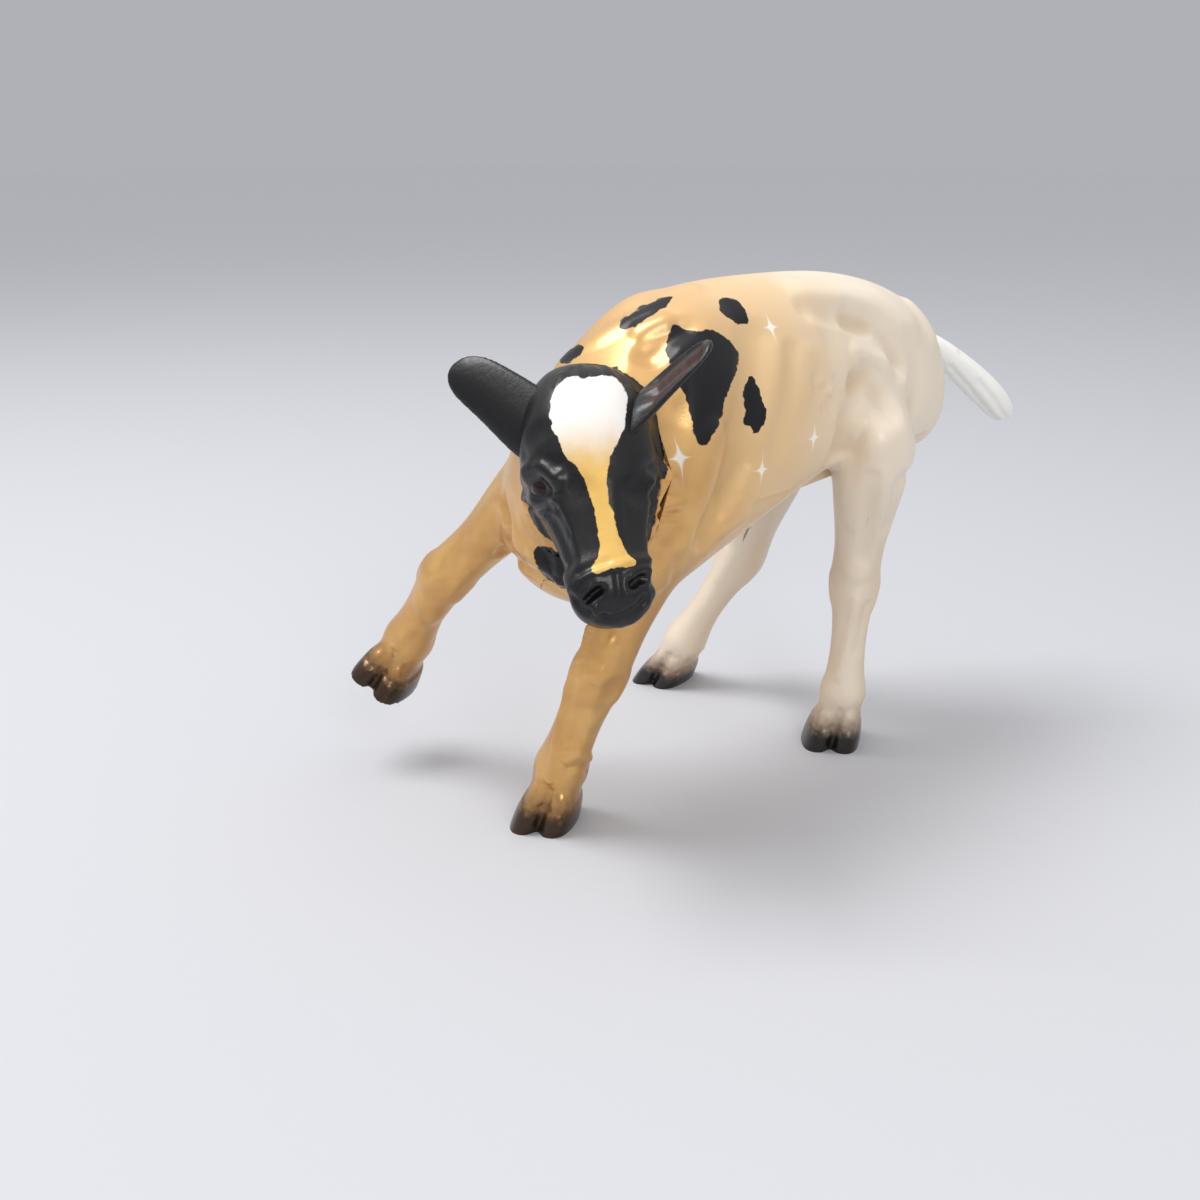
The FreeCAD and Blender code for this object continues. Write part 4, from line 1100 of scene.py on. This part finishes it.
@dataclass(frozen=True)
class PearlPaint:
    """Airbrushed pearl paint on moulded plastic, gold in front and cream behind.

    Pearl pigment gives a soft broad highlight under a thin satin lacquer.
    """

    name: str = "airbrushed_pearl_paint"
    gold: str = "#D09A55"
    gold_light: str = "#E3B672"
    # Darker gold painted into hollows, creases and the legs' sides as shade
    gold_painted_shade: str = "#9A6730"
    peach: str = "#E2C090"
    cream: str = "#EBDDC8"
    # Darker cream painted into hollows, creases and the legs' sides as shade
    cream_painted_shade: str = "#C6A074"
    tail_white: str = "#EEEDE8"
    black: str = "#101114"
    horn: str = "#17120F"
    sparkle: str = "#FBF8F0"
    gilt_metal: float = 0.50
    grain_mm: float = 0.35
    mottle_mm: float = 6.0
    bronze: str = "#3A2818"
    haze: str = "#6E4C2E"
    horn_mm: tuple[float, float] = (2.6, 5.6)
    haze_mm: tuple[float, float] = (4.0, 10.0)
    haze_share: float = 0.72
    # Share of the tan on the legs' sides, which is partly airbrushed colour and partly painted shade
    leg_side_shade_share: float = 0.42

    def material(self, sparkles: Sequence[tuple[np.ndarray, np.ndarray, float]]) -> bpy.types.Material:
        """The finish, with its sparkles.

        Args:
            sparkles: Centre in millimetres, outward direction and radius of each sparkle.

        Returns:
            The material.
        """
        paint = Paintwork(self.name)
        warmth = paint.layer("warmth")
        mottle = paint.noise(self.mottle_mm)
        grain = paint.noise(self.grain_mm, 2.0)
        # Painted shade: gold and cream darken where the skin lies in hollows and creases, and on the sides of the
        # legs
        hollow = paint.layer("hollow")
        painted_crease_shade = paint.maths("MULTIPLY", paint.ramp(hollow, 0.0, 1.3), 0.62)
        painted_crease_shade = paint.maths("MAXIMUM", painted_crease_shade, paint.maths("MULTIPLY", paint.layer("leg_side_shade"), self.leg_side_shade_share))
        gold = paint.mix(paint.ramp(mottle, 0.2, 0.8), linear(self.gold), linear(self.gold_light))
        gold = paint.mix(painted_crease_shade, gold, linear(self.gold_painted_shade))
        cream = paint.mix(painted_crease_shade, linear(self.cream), linear(self.cream_painted_shade))
        drift = paint.maths("ADD", warmth, paint.maths("MULTIPLY", paint.maths("SUBTRACT", mottle, 0.5), 0.18))
        colour = paint.mix(paint.ramp(drift, 0.02, 0.55), cream, linear(self.peach))
        gilt = paint.ramp(drift, 0.50, 1.05)
        colour = paint.mix(gilt, colour, gold)
        colour = paint.mix(paint.ramp(warmth, -0.2, -0.8), colour, linear(self.tail_white))
        edge = paint.maths("MULTIPLY", paint.maths("SUBTRACT", paint.noise(1.3), 0.5), 1.1)
        black_share = paint.ramp(paint.maths("ADD", paint.layer("black"), edge), -0.09, 0.09)
        colour = paint.mix(black_share, colour, linear(self.black))
        spray = paint.maths("MULTIPLY", paint.maths("SUBTRACT", paint.noise(1.2), 0.5), 3.0)
        height = paint.maths("MULTIPLY", paint.maths("ADD", paint.layer("hoof"), spray), -1.0)
        haze_share = paint.maths("MULTIPLY", paint.ramp(height, -self.haze_mm[1], -self.haze_mm[0]),
                                 self.haze_share)
        hoof_share = paint.ramp(height, -self.horn_mm[1], -self.horn_mm[0])
        colour = paint.mix(haze_share, colour, linear(self.haze))
        horn = paint.mix(gilt, linear(self.horn), linear(self.bronze))
        colour = paint.mix(hoof_share, colour, horn)
        for centre, outward, radius in sparkles:
            colour = paint.mix(self.star(paint, centre, outward, radius), colour, linear(self.sparkle))
        rough = paint.maths("SUBTRACT", paint.maths("ADD", 0.34, paint.maths("MULTIPLY", grain, 0.12)),
                            paint.maths("MULTIPLY", paint.maths("MAXIMUM", hoof_share, gilt), 0.10))
        covered = paint.maths("SUBTRACT", 1.0, black_share)
        gleam = paint.maths("SUBTRACT", 0.5, paint.maths("MULTIPLY", black_share, 0.28))
        metal = paint.maths("MULTIPLY", paint.maths("MULTIPLY", gilt, covered), self.gilt_metal)
        return paint.finish(colour, rough, grain, 0.02, {
            "Metallic": metal, "Specular IOR Level": gleam, "Coat Weight": 0.18, "Coat Roughness": 0.20})

    def star(self, paint: Paintwork, centre: np.ndarray, outward: np.ndarray,
             radius: float) -> bpy.types.NodeSocket:
        """Share of a four-pointed sparkle at each place."""
        turn = Vector(outward).to_track_quat("Z", "Y").to_matrix().inverted()
        shift = turn @ Vector(centre * MM)
        scale = 1.0 / (radius * MM)
        node = add_node(paint.tree, "ShaderNodeMapping", {"vector_type": "POINT"}, {
            "Vector": paint.place, "Rotation": turn.to_euler(), "Location": -shift * 1.0})
        scaled = add_node(paint.tree, "ShaderNodeVectorMath", {"operation": "SCALE"},
                          {0: node.outputs[0], "Scale": scale})
        axes = add_node(paint.tree, "ShaderNodeSeparateXYZ", None, {0: scaled.outputs[0]})
        arms = [paint.maths("POWER", paint.maths("MULTIPLY", paint.maths("ABSOLUTE", axes.outputs[n]), widen), 0.37)
                for n, widen in ((0, 1.7), (1, 1.0))]
        reach = paint.maths("ADD", arms[0], arms[1])
        star = paint.maths("MULTIPLY", paint.ramp(paint.maths("MULTIPLY", reach, -1.0), -1.14, -0.84), 0.82)
        near = paint.maths("LESS_THAN", paint.maths("ABSOLUTE", axes.outputs[2]), 1.2)
        return paint.maths("MULTIPLY", star, near)


@dataclass(frozen=True)
class GlossPaint:
    """Brushed black enamel under gloss lacquer, with a blaze of white and gold.

    The enamel is slick, so it mirrors the lamps, and dust leaves it faintly grey in the hollows.
    """

    name: str = "black_gloss_enamel"
    black: str = "#0B0C0E"
    worn: str = "#2A2522"
    white: str = "#ECE8E2"
    gold: str = "#DFB45F"
    nape: str = "#D6A25A"
    # Darker gold painted into the neck's hollows and creases as shade
    nape_painted_shade: str = "#A06C33"
    groove: str = "#3A241C"
    grain_mm: float = 0.30
    hair_mm: float = 0.7

    def material(self) -> bpy.types.Material:
        """The finish for the head and ears."""
        paint = Paintwork(self.name)
        grain = paint.noise(self.grain_mm, 2.0)
        hair = paint.noise(self.hair_mm, 4.0)
        colour = paint.mix(paint.ramp(paint.maths("ADD", hair, paint.layer("hollow")), 0.62, 1.3),
                           linear(self.black), linear(self.worn))
        edge = paint.maths("MULTIPLY", paint.maths("SUBTRACT", paint.noise(1.5), 0.5), 1.3)
        # Painted shade: the neck's gold darkens where the skin lies in hollows and creases
        nape = paint.mix(paint.maths("MULTIPLY", paint.ramp(paint.layer("hollow"), 0.05, 1.0), 0.6),
                         linear(self.nape), linear(self.nape_painted_shade))
        colour = paint.mix(paint.ramp(paint.maths("ADD", paint.layer("black"), edge), -0.10, 0.10), nape, colour)
        blaze = paint.ramp(paint.maths("ADD", paint.layer("blaze"), edge), -0.10, 0.10)
        drift = paint.maths("ADD", paint.layer("gilding"), paint.maths("MULTIPLY", paint.noise(2.0), 0.25))
        blaze_colour = paint.mix(paint.ramp(drift, 0.10, 0.85), linear(self.white), linear(self.gold))
        colour = paint.mix(blaze, colour, blaze_colour)
        warm = paint.ramp(paint.layer("inside"), 0.2, 0.8)
        colour = paint.mix(warm, colour, linear(self.groove))
        rough = paint.maths("ADD", 0.22, paint.maths("MULTIPLY", hair, 0.24))
        bump = paint.maths("ADD", grain, paint.maths("MULTIPLY", hair, 2.5))
        return paint.finish(colour, rough, bump, 0.014,
                            {"IOR": 1.42, "Coat Weight": 0.12, "Coat Roughness": 0.10})


@dataclass(frozen=True)
class EyePaint:
    """Dark reddish brown enamel under a thick drop of clear lacquer, wet to the eye."""

    name: str = "lacquered_eye_enamel"
    pupil: str = "#070505"
    iris: str = "#2C1012"
    patch_mm: float = 1.1

    def material(self) -> bpy.types.Material:
        """The finish for the eyes."""
        paint = Paintwork(self.name)
        cloud = paint.noise(self.patch_mm)
        colour = paint.mix(paint.ramp(cloud, 0.35, 0.6), linear(self.pupil), linear(self.iris))
        return paint.finish(colour, 0.12, cloud, 0.004, {"IOR": 1.38})


# Black patches of the coat, as pixels of the photograph, on the side that it shows
SEEN_PATCHES = (
    ((664, 347), (673, 320), (690, 333), (716, 328), (741, 352), (736, 372), (727, 393), (722, 414),
     (717, 431), (702, 450), (695, 440), (692, 424), (688, 400), (676, 380)),
    ((719, 298), (734, 297), (746, 310), (750, 325), (738, 324), (727, 318), (719, 311)),
    ((616, 326), (630, 313), (646, 304), (662, 297), (674, 296), (668, 306), (654, 315), (640, 323), (628, 331)),
    ((556, 360), (566, 350), (580, 343), (586, 347), (578, 356), (566, 366)),
    ((750, 372), (757, 384), (762, 398), (768, 416), (762, 428), (752, 437), (750, 424), (743, 426),
     (745, 408), (742, 393)),
)
# Patches of the hidden side, as places along and up the body in millimetres
HIDDEN_PATCHES = (
    ((-34, 70), (-26, 78), (-16, 84), (-8, 82), (-10, 70), (-16, 58), (-24, 50), (-32, 56)),
    ((2, 84), (12, 86), (20, 80), (16, 68), (6, 64), (0, 72)),
    ((22, 62), (32, 66), (38, 58), (33, 48), (25, 50)),
)
BLAZE = (
    (557, 384), (570, 375), (588, 379), (606, 373), (622, 383), (629, 402), (624, 424), (620, 440),
    (611, 455), (606, 472), (608, 492), (613, 515), (619, 538), (628, 554), (640, 562), (628, 569),
    (612, 568), (598, 574), (590, 571), (599, 556), (600, 538), (595, 515), (590, 494), (583, 476),
    (571, 462), (560, 447), (551, 424), (549, 403))
SPARKLE_PIXELS = ((680, 458, 4.6), (762, 470, 3.6), (814, 438, 4.0), (771, 327, 3.6))
GOLD_FROM = -46.0
GOLD_TO = 26.0
FAR_OFF = -9.0
# Heights in millimetres over which the tan on the legs' sides fades in: partly airbrushed colour, partly painted
# shade
LEG_SIDE_SHADE_TOP = 52.0
LEG_SIDE_SHADE_BOTTOM = 32.0
CREASE_RISE = 0.014
CREASE_ROUNDS = 28
HEAD_EDGE = 1.0
MUZZLE_EDGE = 1.6
TUFT_PATCH = ((533, 550), (541, 545), (556, 550), (570, 560), (578, 580), (570, 592), (556, 585), (544, 577),
              (535, 564))


def smooth_values(clay: Clay, values: np.ndarray, rounds: int) -> np.ndarray:
    """Values averaged with their neighbours."""
    column = values[:, None]
    for _ in range(rounds):
        column = clay.average(column)
    return column[:, 0]


def hollows(clay: Clay) -> np.ndarray:
    """How far each point lies in a hollow, from -1 on ridges to 1 in creases."""
    normals = clay.normals()
    rise = np.sum((clay.average(clay.points) - clay.points) * normals, axis=1)
    broad = smooth_values(clay, rise, CREASE_ROUNDS)
    return np.clip(broad / CREASE_RISE, -1.0, 1.0)


def paint_layers(clay: Clay) -> dict[str, np.ndarray]:
    """Values of each paint layer at the skin's points.

    Args:
        clay: The sculpted skin.

    Returns:
        One array for each layer.
    """
    points = clay.points
    normals = clay.normals()
    facing = np.sum(normals * unit(PHOTO.position()), axis=1)
    pixels = PHOTO.project(points)
    scale = PHOTO.distance / PHOTO.focal_px
    warmth = 1.0 - fade(points[:, 1], GOLD_FROM, GOLD_TO)
    tail_root = TAIL.points()[1]
    past = (points - tail_root) @ TAIL.axes(1)[0]
    warmth = np.where(points[:, 1] > tail_root[1], warmth - 2.0 * fade(past, 1.0, 6.0), warmth)
    black = np.full(len(points), FAR_OFF)
    seen = (facing > 0.0) & (points[:, 2] > 40)
    for outline in SEEN_PATCHES:
        black = np.where(seen, np.maximum(black, inside_distance(pixels, outline) * scale), black)
    hidden = (points[:, 0] < BODY.origin[0] + 1.0) & (facing < 0.35)
    for outline in HIDDEN_PATCHES:
        black = np.where(hidden, np.maximum(black, inside_distance(points[:, 1:], outline)), black)
    hoof = np.full(len(points), 99.0)
    leg_side_shade = np.zeros(len(points))
    # Sides of the lower legs take a tan that is partly airbrushed colour and partly painted shade, strongest where
    # the skin faces sideways
    for leg in LEGS:
        near = leg.near(points)
        shade = fade(np.abs(normals @ leg.side()), 0.45, 1.0) * fade(-points[:, 2], -LEG_SIDE_SHADE_TOP, -LEG_SIDE_SHADE_BOTTOM)
        leg_side_shade = np.where(near, np.maximum(leg_side_shade, shade), leg_side_shade)
        hoof = np.where(near, np.minimum(hoof, leg.sole_height(points)), hoof)
    local = HEAD.local(points)
    front = facing > -0.2
    blaze = np.where(front, inside_distance(pixels, BLAZE) * scale, FAR_OFF)
    gilding = fade(local[:, 0], 0.18 * BODY.head_length, 0.62 * BODY.head_length)
    head_mask = head_distance(clay.plain)
    blaze = np.where(head_mask > 0, blaze, FAR_OFF)
    tuft = np.where(seen & (points[:, 1] < -30), inside_distance(pixels, TUFT_PATCH) * scale, FAR_OFF)
    black = np.maximum(np.maximum(black, head_mask), tuft)
    return {"warmth": warmth, "leg_side_shade": smooth_values(clay, leg_side_shade, 12), "black": black, "hoof": hoof, "blaze": blaze, "gilding": gilding,
            "hollow": hollows(clay), "inside": np.zeros(len(points))}


def head_distance(points: np.ndarray) -> np.ndarray:
    """How far each point lies within the black of the head, in millimetres."""
    shares = np.array(HEAD.station_shares)
    local = HEAD.local(points)
    along = local[:, 0] / BODY.head_length
    brow, jaw, width, drift = (np.interp(along, shares[:, 0], shares[:, n]) for n in (1, 2, 3, 5))
    centre = (brow - jaw) / 2 * BODY.head_depth
    rise = (brow + jaw) / 2 * BODY.head_depth
    half = width * BODY.head_width / 2
    lift = (local[:, 2] - centre) / rise
    half = half * (1 - HEAD.narrowing(along) * np.clip(lift, -1.0, 1.0))
    radius = np.hypot((local[:, 1] - drift * BODY.head_width) / half, lift)
    inside = (1.0 - radius) * np.minimum(half, rise) + HEAD_EDGE + MUZZLE_EDGE * fade(along, 0.75, 0.95)
    edge = np.minimum(inside, local[:, 0] + 0.13 * BODY.head_length)
    return edge


def store_layers(item: bpy.types.Object, layers: dict[str, np.ndarray]) -> None:
    """Stores paint layers on an object's points."""
    for name, values in layers.items():
        layer = item.data.attributes.new(name, "FLOAT", "POINT")
        layer.data.foreach_set("value", values.astype(np.float32))


# Ears and eyes

@dataclass(frozen=True)
class Ear:
    """A cupped ear."""

    name: str
    side: float
    root_shares: tuple
    turn: float
    rise: float
    opening_shares: tuple
    # reach, breadth, thickness, drop as shares
    section_shares: tuple = (
        (-0.20, 1.42, 1.15, 0.60), (0.00, 1.42, 1.05, 0.50), (0.20, 1.34, 0.95, 0.36), (0.42, 1.22, 0.86, 0.20),
        (0.64, 1.10, 0.74, 0.06), (0.84, 0.90, 0.58, 0.0), (0.95, 0.56, 0.42, 0.0), (1.01, 0.24, 0.22, 0.0))
    edge_box: float = -0.30
    sides: int = 16
    voxel: float = 0.24
    cup_depth: float = 1.35
    fold_depth: float = 0.30

    def axes(self) -> tuple[np.ndarray, np.ndarray, np.ndarray, np.ndarray]:
        """Root, direction of the ear, its breadth and its opening."""
        muzzle, left, brow = HEAD.axes()
        along, inward, outward = self.root_shares
        root = (HEAD.poll() + muzzle * (along * BODY.head_length) - brow * (inward * BODY.head_depth)
                + left * (self.side * outward * BODY.head_width))
        axis = tilted(heading(self.turn), UP, self.rise)
        opening = heading(HEAD.turn) * self.opening_shares[0] + UP * self.opening_shares[1]
        opening = unit(opening - axis * (opening @ axis))
        return root, axis, np.cross(axis, opening), opening

    def build(self) -> bpy.types.Object:
        """The ear, cupped and stored with its paint layers."""
        root, axis, flat, opening = self.axes()
        rings = []
        lower = -flat if flat[2] > 0 else flat
        for reach, breadth, thickness, drop in self.section_shares:
            centre = root + axis * (reach * BODY.ear_length) + lower * (drop * BODY.ear_breadth)
            rings.append(ring(centre, flat, opening,
                              breadth * BODY.ear_breadth / 2, thickness * BODY.ear_thickness / 2, self.sides,
                              0.0, self.edge_box))
        item = skin(self.name, rings)
        remesh(item, self.voxel)
        clay = Clay(item)
        offset = clay.points - root
        along = (offset @ axis) / BODY.ear_length
        shares = np.array(self.section_shares)
        drop = np.interp(along, shares[:, 0], shares[:, 3]) * BODY.ear_breadth * (lower @ flat)
        across = (offset @ flat - drop) / (BODY.ear_breadth / 2)
        width = np.interp(along, shares[:, 0], shares[:, 1])
        hollow = np.clip(1 - (across / np.maximum(width * 0.86, 0.05)) ** 2, 0, 1) * fade(along, 0.08, 0.3)
        hollow *= 1 - fade(along, 0.82, 0.97)
        open_side = np.clip(clay.normals() @ opening, 0, 1)
        cup = hollow * (open_side > 0.15)
        clay.points -= np.outer(cup * self.cup_depth, opening)
        folds = np.cos(across * 7.5) * hollow * (open_side > 0.15) * self.fold_depth
        clay.points -= np.outer(folds, opening)
        clay.relax(np.ones(len(clay.points)), 3)
        clay.write()
        zero = np.zeros(len(clay.points))
        store_layers(item, {"blaze": zero + FAR_OFF, "gilding": zero, "black": zero - FAR_OFF,
                            "hollow": hollows(clay),
                            "inside": smooth_values(clay, cup, 2) * 0.9})
        choose(item)
        bpy.ops.object.shade_smooth()
        return item


EARS = (
    Ear("ear_left_skin", 1, (0.09, 0.14, 0.38), 102, 37, (0.45, 0.90)),
    Ear("ear_right_skin", -1, (0.04, 0.22, 0.36), -70, 10, (-0.80, -0.20)))


def remesh(item: bpy.types.Object, voxel_mm: float) -> None:
    """Merges an object's forms into one even skin."""
    modifier = item.modifiers.new("merge", "REMESH")
    modifier.mode = "VOXEL"
    modifier.voxel_size = voxel_mm * MM
    apply_modifiers(item)


def build_eye(name: str, place: np.ndarray, outward: np.ndarray) -> bpy.types.Object:
    """An eyeball that shows between the lids.

    Args:
        name: Name of the piece.
        place: Point of the skin over the socket, in millimetres.
        outward: Direction out of the socket.

    Returns:
        The eyeball.
    """
    deselect()
    centre = (place - outward * (EYE_RADIUS * 0.80)) * MM
    bpy.ops.mesh.primitive_uv_sphere_add(segments=48, ring_count=24, radius=EYE_RADIUS * MM,
                                         location=tuple(centre))
    item = bpy.context.object
    item.name = name
    bpy.ops.object.mode_set(mode="EDIT")
    bpy.ops.transform.resize(value=(1.0, 1.0, 0.86), center_override=tuple(centre))
    bpy.ops.object.mode_set(mode="OBJECT")
    bpy.ops.object.transform_apply(location=True, rotation=True, scale=True)
    bpy.ops.object.shade_smooth()
    return item


# Studio

@dataclass(frozen=True)
class Studio:
    """Pale sweep, soft lamps and the camera."""

    floor_grey: str = "#C3C4C8"
    backdrop: str = "#B0B1B6"
    floor_half: float = 6.0
    key_place: tuple = (-0.22, -0.22, 0.66)
    key_size: float = 0.34
    key_power: float = 3.3
    fill_place: tuple = (0.50, -0.30, 0.34)
    fill_size: float = 0.20
    fill_power: float = 0.9
    sky: str = "#FDFDFF"
    sky_low: float = 0.42
    sky_high: float = 0.95

    def floor(self) -> None:
        """Pale floor of matt paper."""
        deselect()
        bpy.ops.mesh.primitive_plane_add(size=self.floor_half * 2)
        item = bpy.context.object
        item.name = "floor"
        paint = Paintwork("matt_backdrop_paper")
        fleck = paint.noise(2.0)
        colour = paint.mix(paint.maths("MULTIPLY", fleck, 0.04), linear(self.floor_grey), linear(self.backdrop))
        item.data.materials.append(paint.finish(colour, 0.9, fleck, 0.01, {"Specular IOR Level": 0.0}))

    def lamp(self, name: str, place: tuple, size: float, power: float) -> None:
        """Square soft lamp that faces the figure."""
        data = bpy.data.lights.new(name, "AREA")
        data.size = size
        data.energy = power
        item = bpy.data.objects.new(name, data)
        item.location = place
        aim = Vector((0.0, 0.0, 0.045)) - Vector(place)
        item.rotation_euler = aim.to_track_quat("-Z", "Y").to_euler()
        bpy.context.collection.objects.link(item)

    def sky_light(self) -> None:
        """Even grey light from all round."""
        world = bpy.data.worlds.new("studio_sky")
        bpy.context.scene.world = world
        world.use_nodes = True
        tree = world.node_tree
        tree.nodes.clear()
        way = add_node(tree, "ShaderNodeTexCoord")
        axes = add_node(tree, "ShaderNodeSeparateXYZ", None, {0: way.outputs["Generated"]})
        glow = add_node(tree, "ShaderNodeMapRange", None, {
            "Value": axes.outputs["Z"], "From Min": 0.0, "From Max": 0.9,
            "To Min": self.sky_low, "To Max": self.sky_high})
        light = add_node(tree, "ShaderNodeBackground", None,
                         {"Color": linear(self.sky), "Strength": glow.outputs["Result"]})
        seen = add_node(tree, "ShaderNodeBackground", None, {"Color": linear(self.backdrop), "Strength": 1.0})
        path = add_node(tree, "ShaderNodeLightPath")
        both = add_node(tree, "ShaderNodeMixShader", None, {
            0: path.outputs["Is Camera Ray"], 1: light.outputs[0], 2: seen.outputs[0]})
        add_node(tree, "ShaderNodeOutputWorld", None, {"Surface": both.outputs[0]})

    def camera(self) -> None:
        """Camera at the photograph's viewpoint."""
        data = bpy.data.cameras.new("photo_camera")
        data.sensor_width = PHOTO.sensor
        data.lens = PHOTO.focal_px / PHOTO.frame_px * PHOTO.sensor
        data.clip_start = 0.01
        item = bpy.data.objects.new("photo_camera", data)
        item.location = Vector(PHOTO.position() * MM)
        item.rotation_euler = Vector(-PHOTO.back()).to_track_quat("-Z", "Y").to_euler()
        bpy.context.collection.objects.link(item)
        bpy.context.scene.camera = item

    def build(self) -> None:
        """Sets up the studio."""
        self.floor()
        self.lamp("key_lamp", self.key_place, self.key_size, self.key_power)
        self.lamp("fill_lamp", self.fill_place, self.fill_size, self.fill_power)
        self.sky_light()
        self.camera()
        bpy.context.scene.view_settings.view_transform = "Standard"


def place_piece(item: bpy.types.Object, material: bpy.types.Material,
                nodes: Sequence[str] = ()) -> None:
    """Dresses a piece and hangs it on the figure.

    Args:
        item: The piece.
        material: Its finish.
        nodes: The moulded parts that it stands for.
    """
    item.data.materials.clear()
    item.data.materials.append(material)
    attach(item, "root")
    if nodes:
        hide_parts(*nodes)
    LOG.info("%s: %d faces", item.name, len(item.data.polygons))


def main() -> None:
    """Builds, paints and parts the figure, then sets up the studio."""
    logging.basicConfig(level=logging.INFO, format="%(message)s")
    forms = [TRUNK.form(), TAIL.form(), HEAD.form()]
    for leg in LEGS:
        forms += leg.forms()
    skin_item = join("calf_skin", forms)
    remesh(skin_item, SKIN_VOXEL)
    LOG.info("merged skin: %d points", len(skin_item.data.vertices))
    clay = sculpt_skin(skin_item)
    eye_place = clay.land(EYE_PIXEL)
    _, outward, _, _ = clay.tree.find_nearest(Vector(eye_place * MM))
    sparkles = []
    for across, down, radius in SPARKLE_PIXELS:
        centre = clay.land((across, down))
        normal = clay.tree.find_nearest(Vector(centre * MM))[1]
        sparkles.append((centre, np.array(normal), radius))
    store_layers(skin_item, paint_layers(clay))

    pearl = PearlPaint().material(sparkles)
    gloss = GlossPaint().material()
    eyes = EyePaint().material()

    choose(skin_item)
    bpy.ops.object.mode_set(mode="EDIT")
    bpy.ops.mesh.select_all(action="SELECT")
    bpy.ops.mesh.bisect(plane_co=(0, 0, 0), plane_no=(0, 0, 1), clear_inner=True, use_fill=True,
                        threshold=CUT_EXACTNESS * MM)
    bpy.ops.object.mode_set(mode="OBJECT")

    for leg in LEGS:
        lower = take(skin_item, leg.name + "_skin", leg.point(leg.parting), -leg.upright(), leg.near)
        inner = take(lower, leg.name + "_inner_skin", leg.point(0), -leg.side() * leg.outer)
        lower.name = leg.name + "_outer_skin"
        for item, half in ((lower, "_outer"), (inner, "_inner")):
            close(item)
            place_piece(item, pearl, [leg.name + half])
    tail_points = TAIL.points()
    along = TAIL.axes(TAIL.parting_number)[0]
    tail = take(skin_item, "tail_skin", tail_points[TAIL.parting_number], along)
    close(tail)
    place_piece(tail, pearl, ["tail"])
    head = take(skin_item, "head_left_skin", *TRUNK.throat())
    head_right = take(head, "head_right_skin", HEAD.poll(), -HEAD.axes()[1])
    for item, node in ((head, "head_shell_left"), (head_right, "head_shell_right")):
        close(item)
        place_piece(item, gloss, [node])
    torso_right = take(skin_item, "torso_right_skin", TRUNK.parting()[0], -TRUNK.parting()[1])
    skin_item.name = "torso_left_skin"
    for item, node in ((skin_item, "torso_shell_left"), (torso_right, "torso_shell_right")):
        close(item)
        place_piece(item, pearl, [node])
    for ear, node in zip(EARS, ("ear_left", "ear_right")):
        place_piece(ear.build(), gloss, [node])
    for name, mirror in (("eye_right", False), ("eye_left", True)):
        place = HEAD.mirror(eye_place) if mirror else eye_place
        way = np.array(outward)
        if mirror:
            side = HEAD.face_side()
            way = way - side * (2 * (way @ side))
        place_piece(build_eye(name, place, way), eyes)
    Studio().build()


if __name__ == "__main__":
    main()
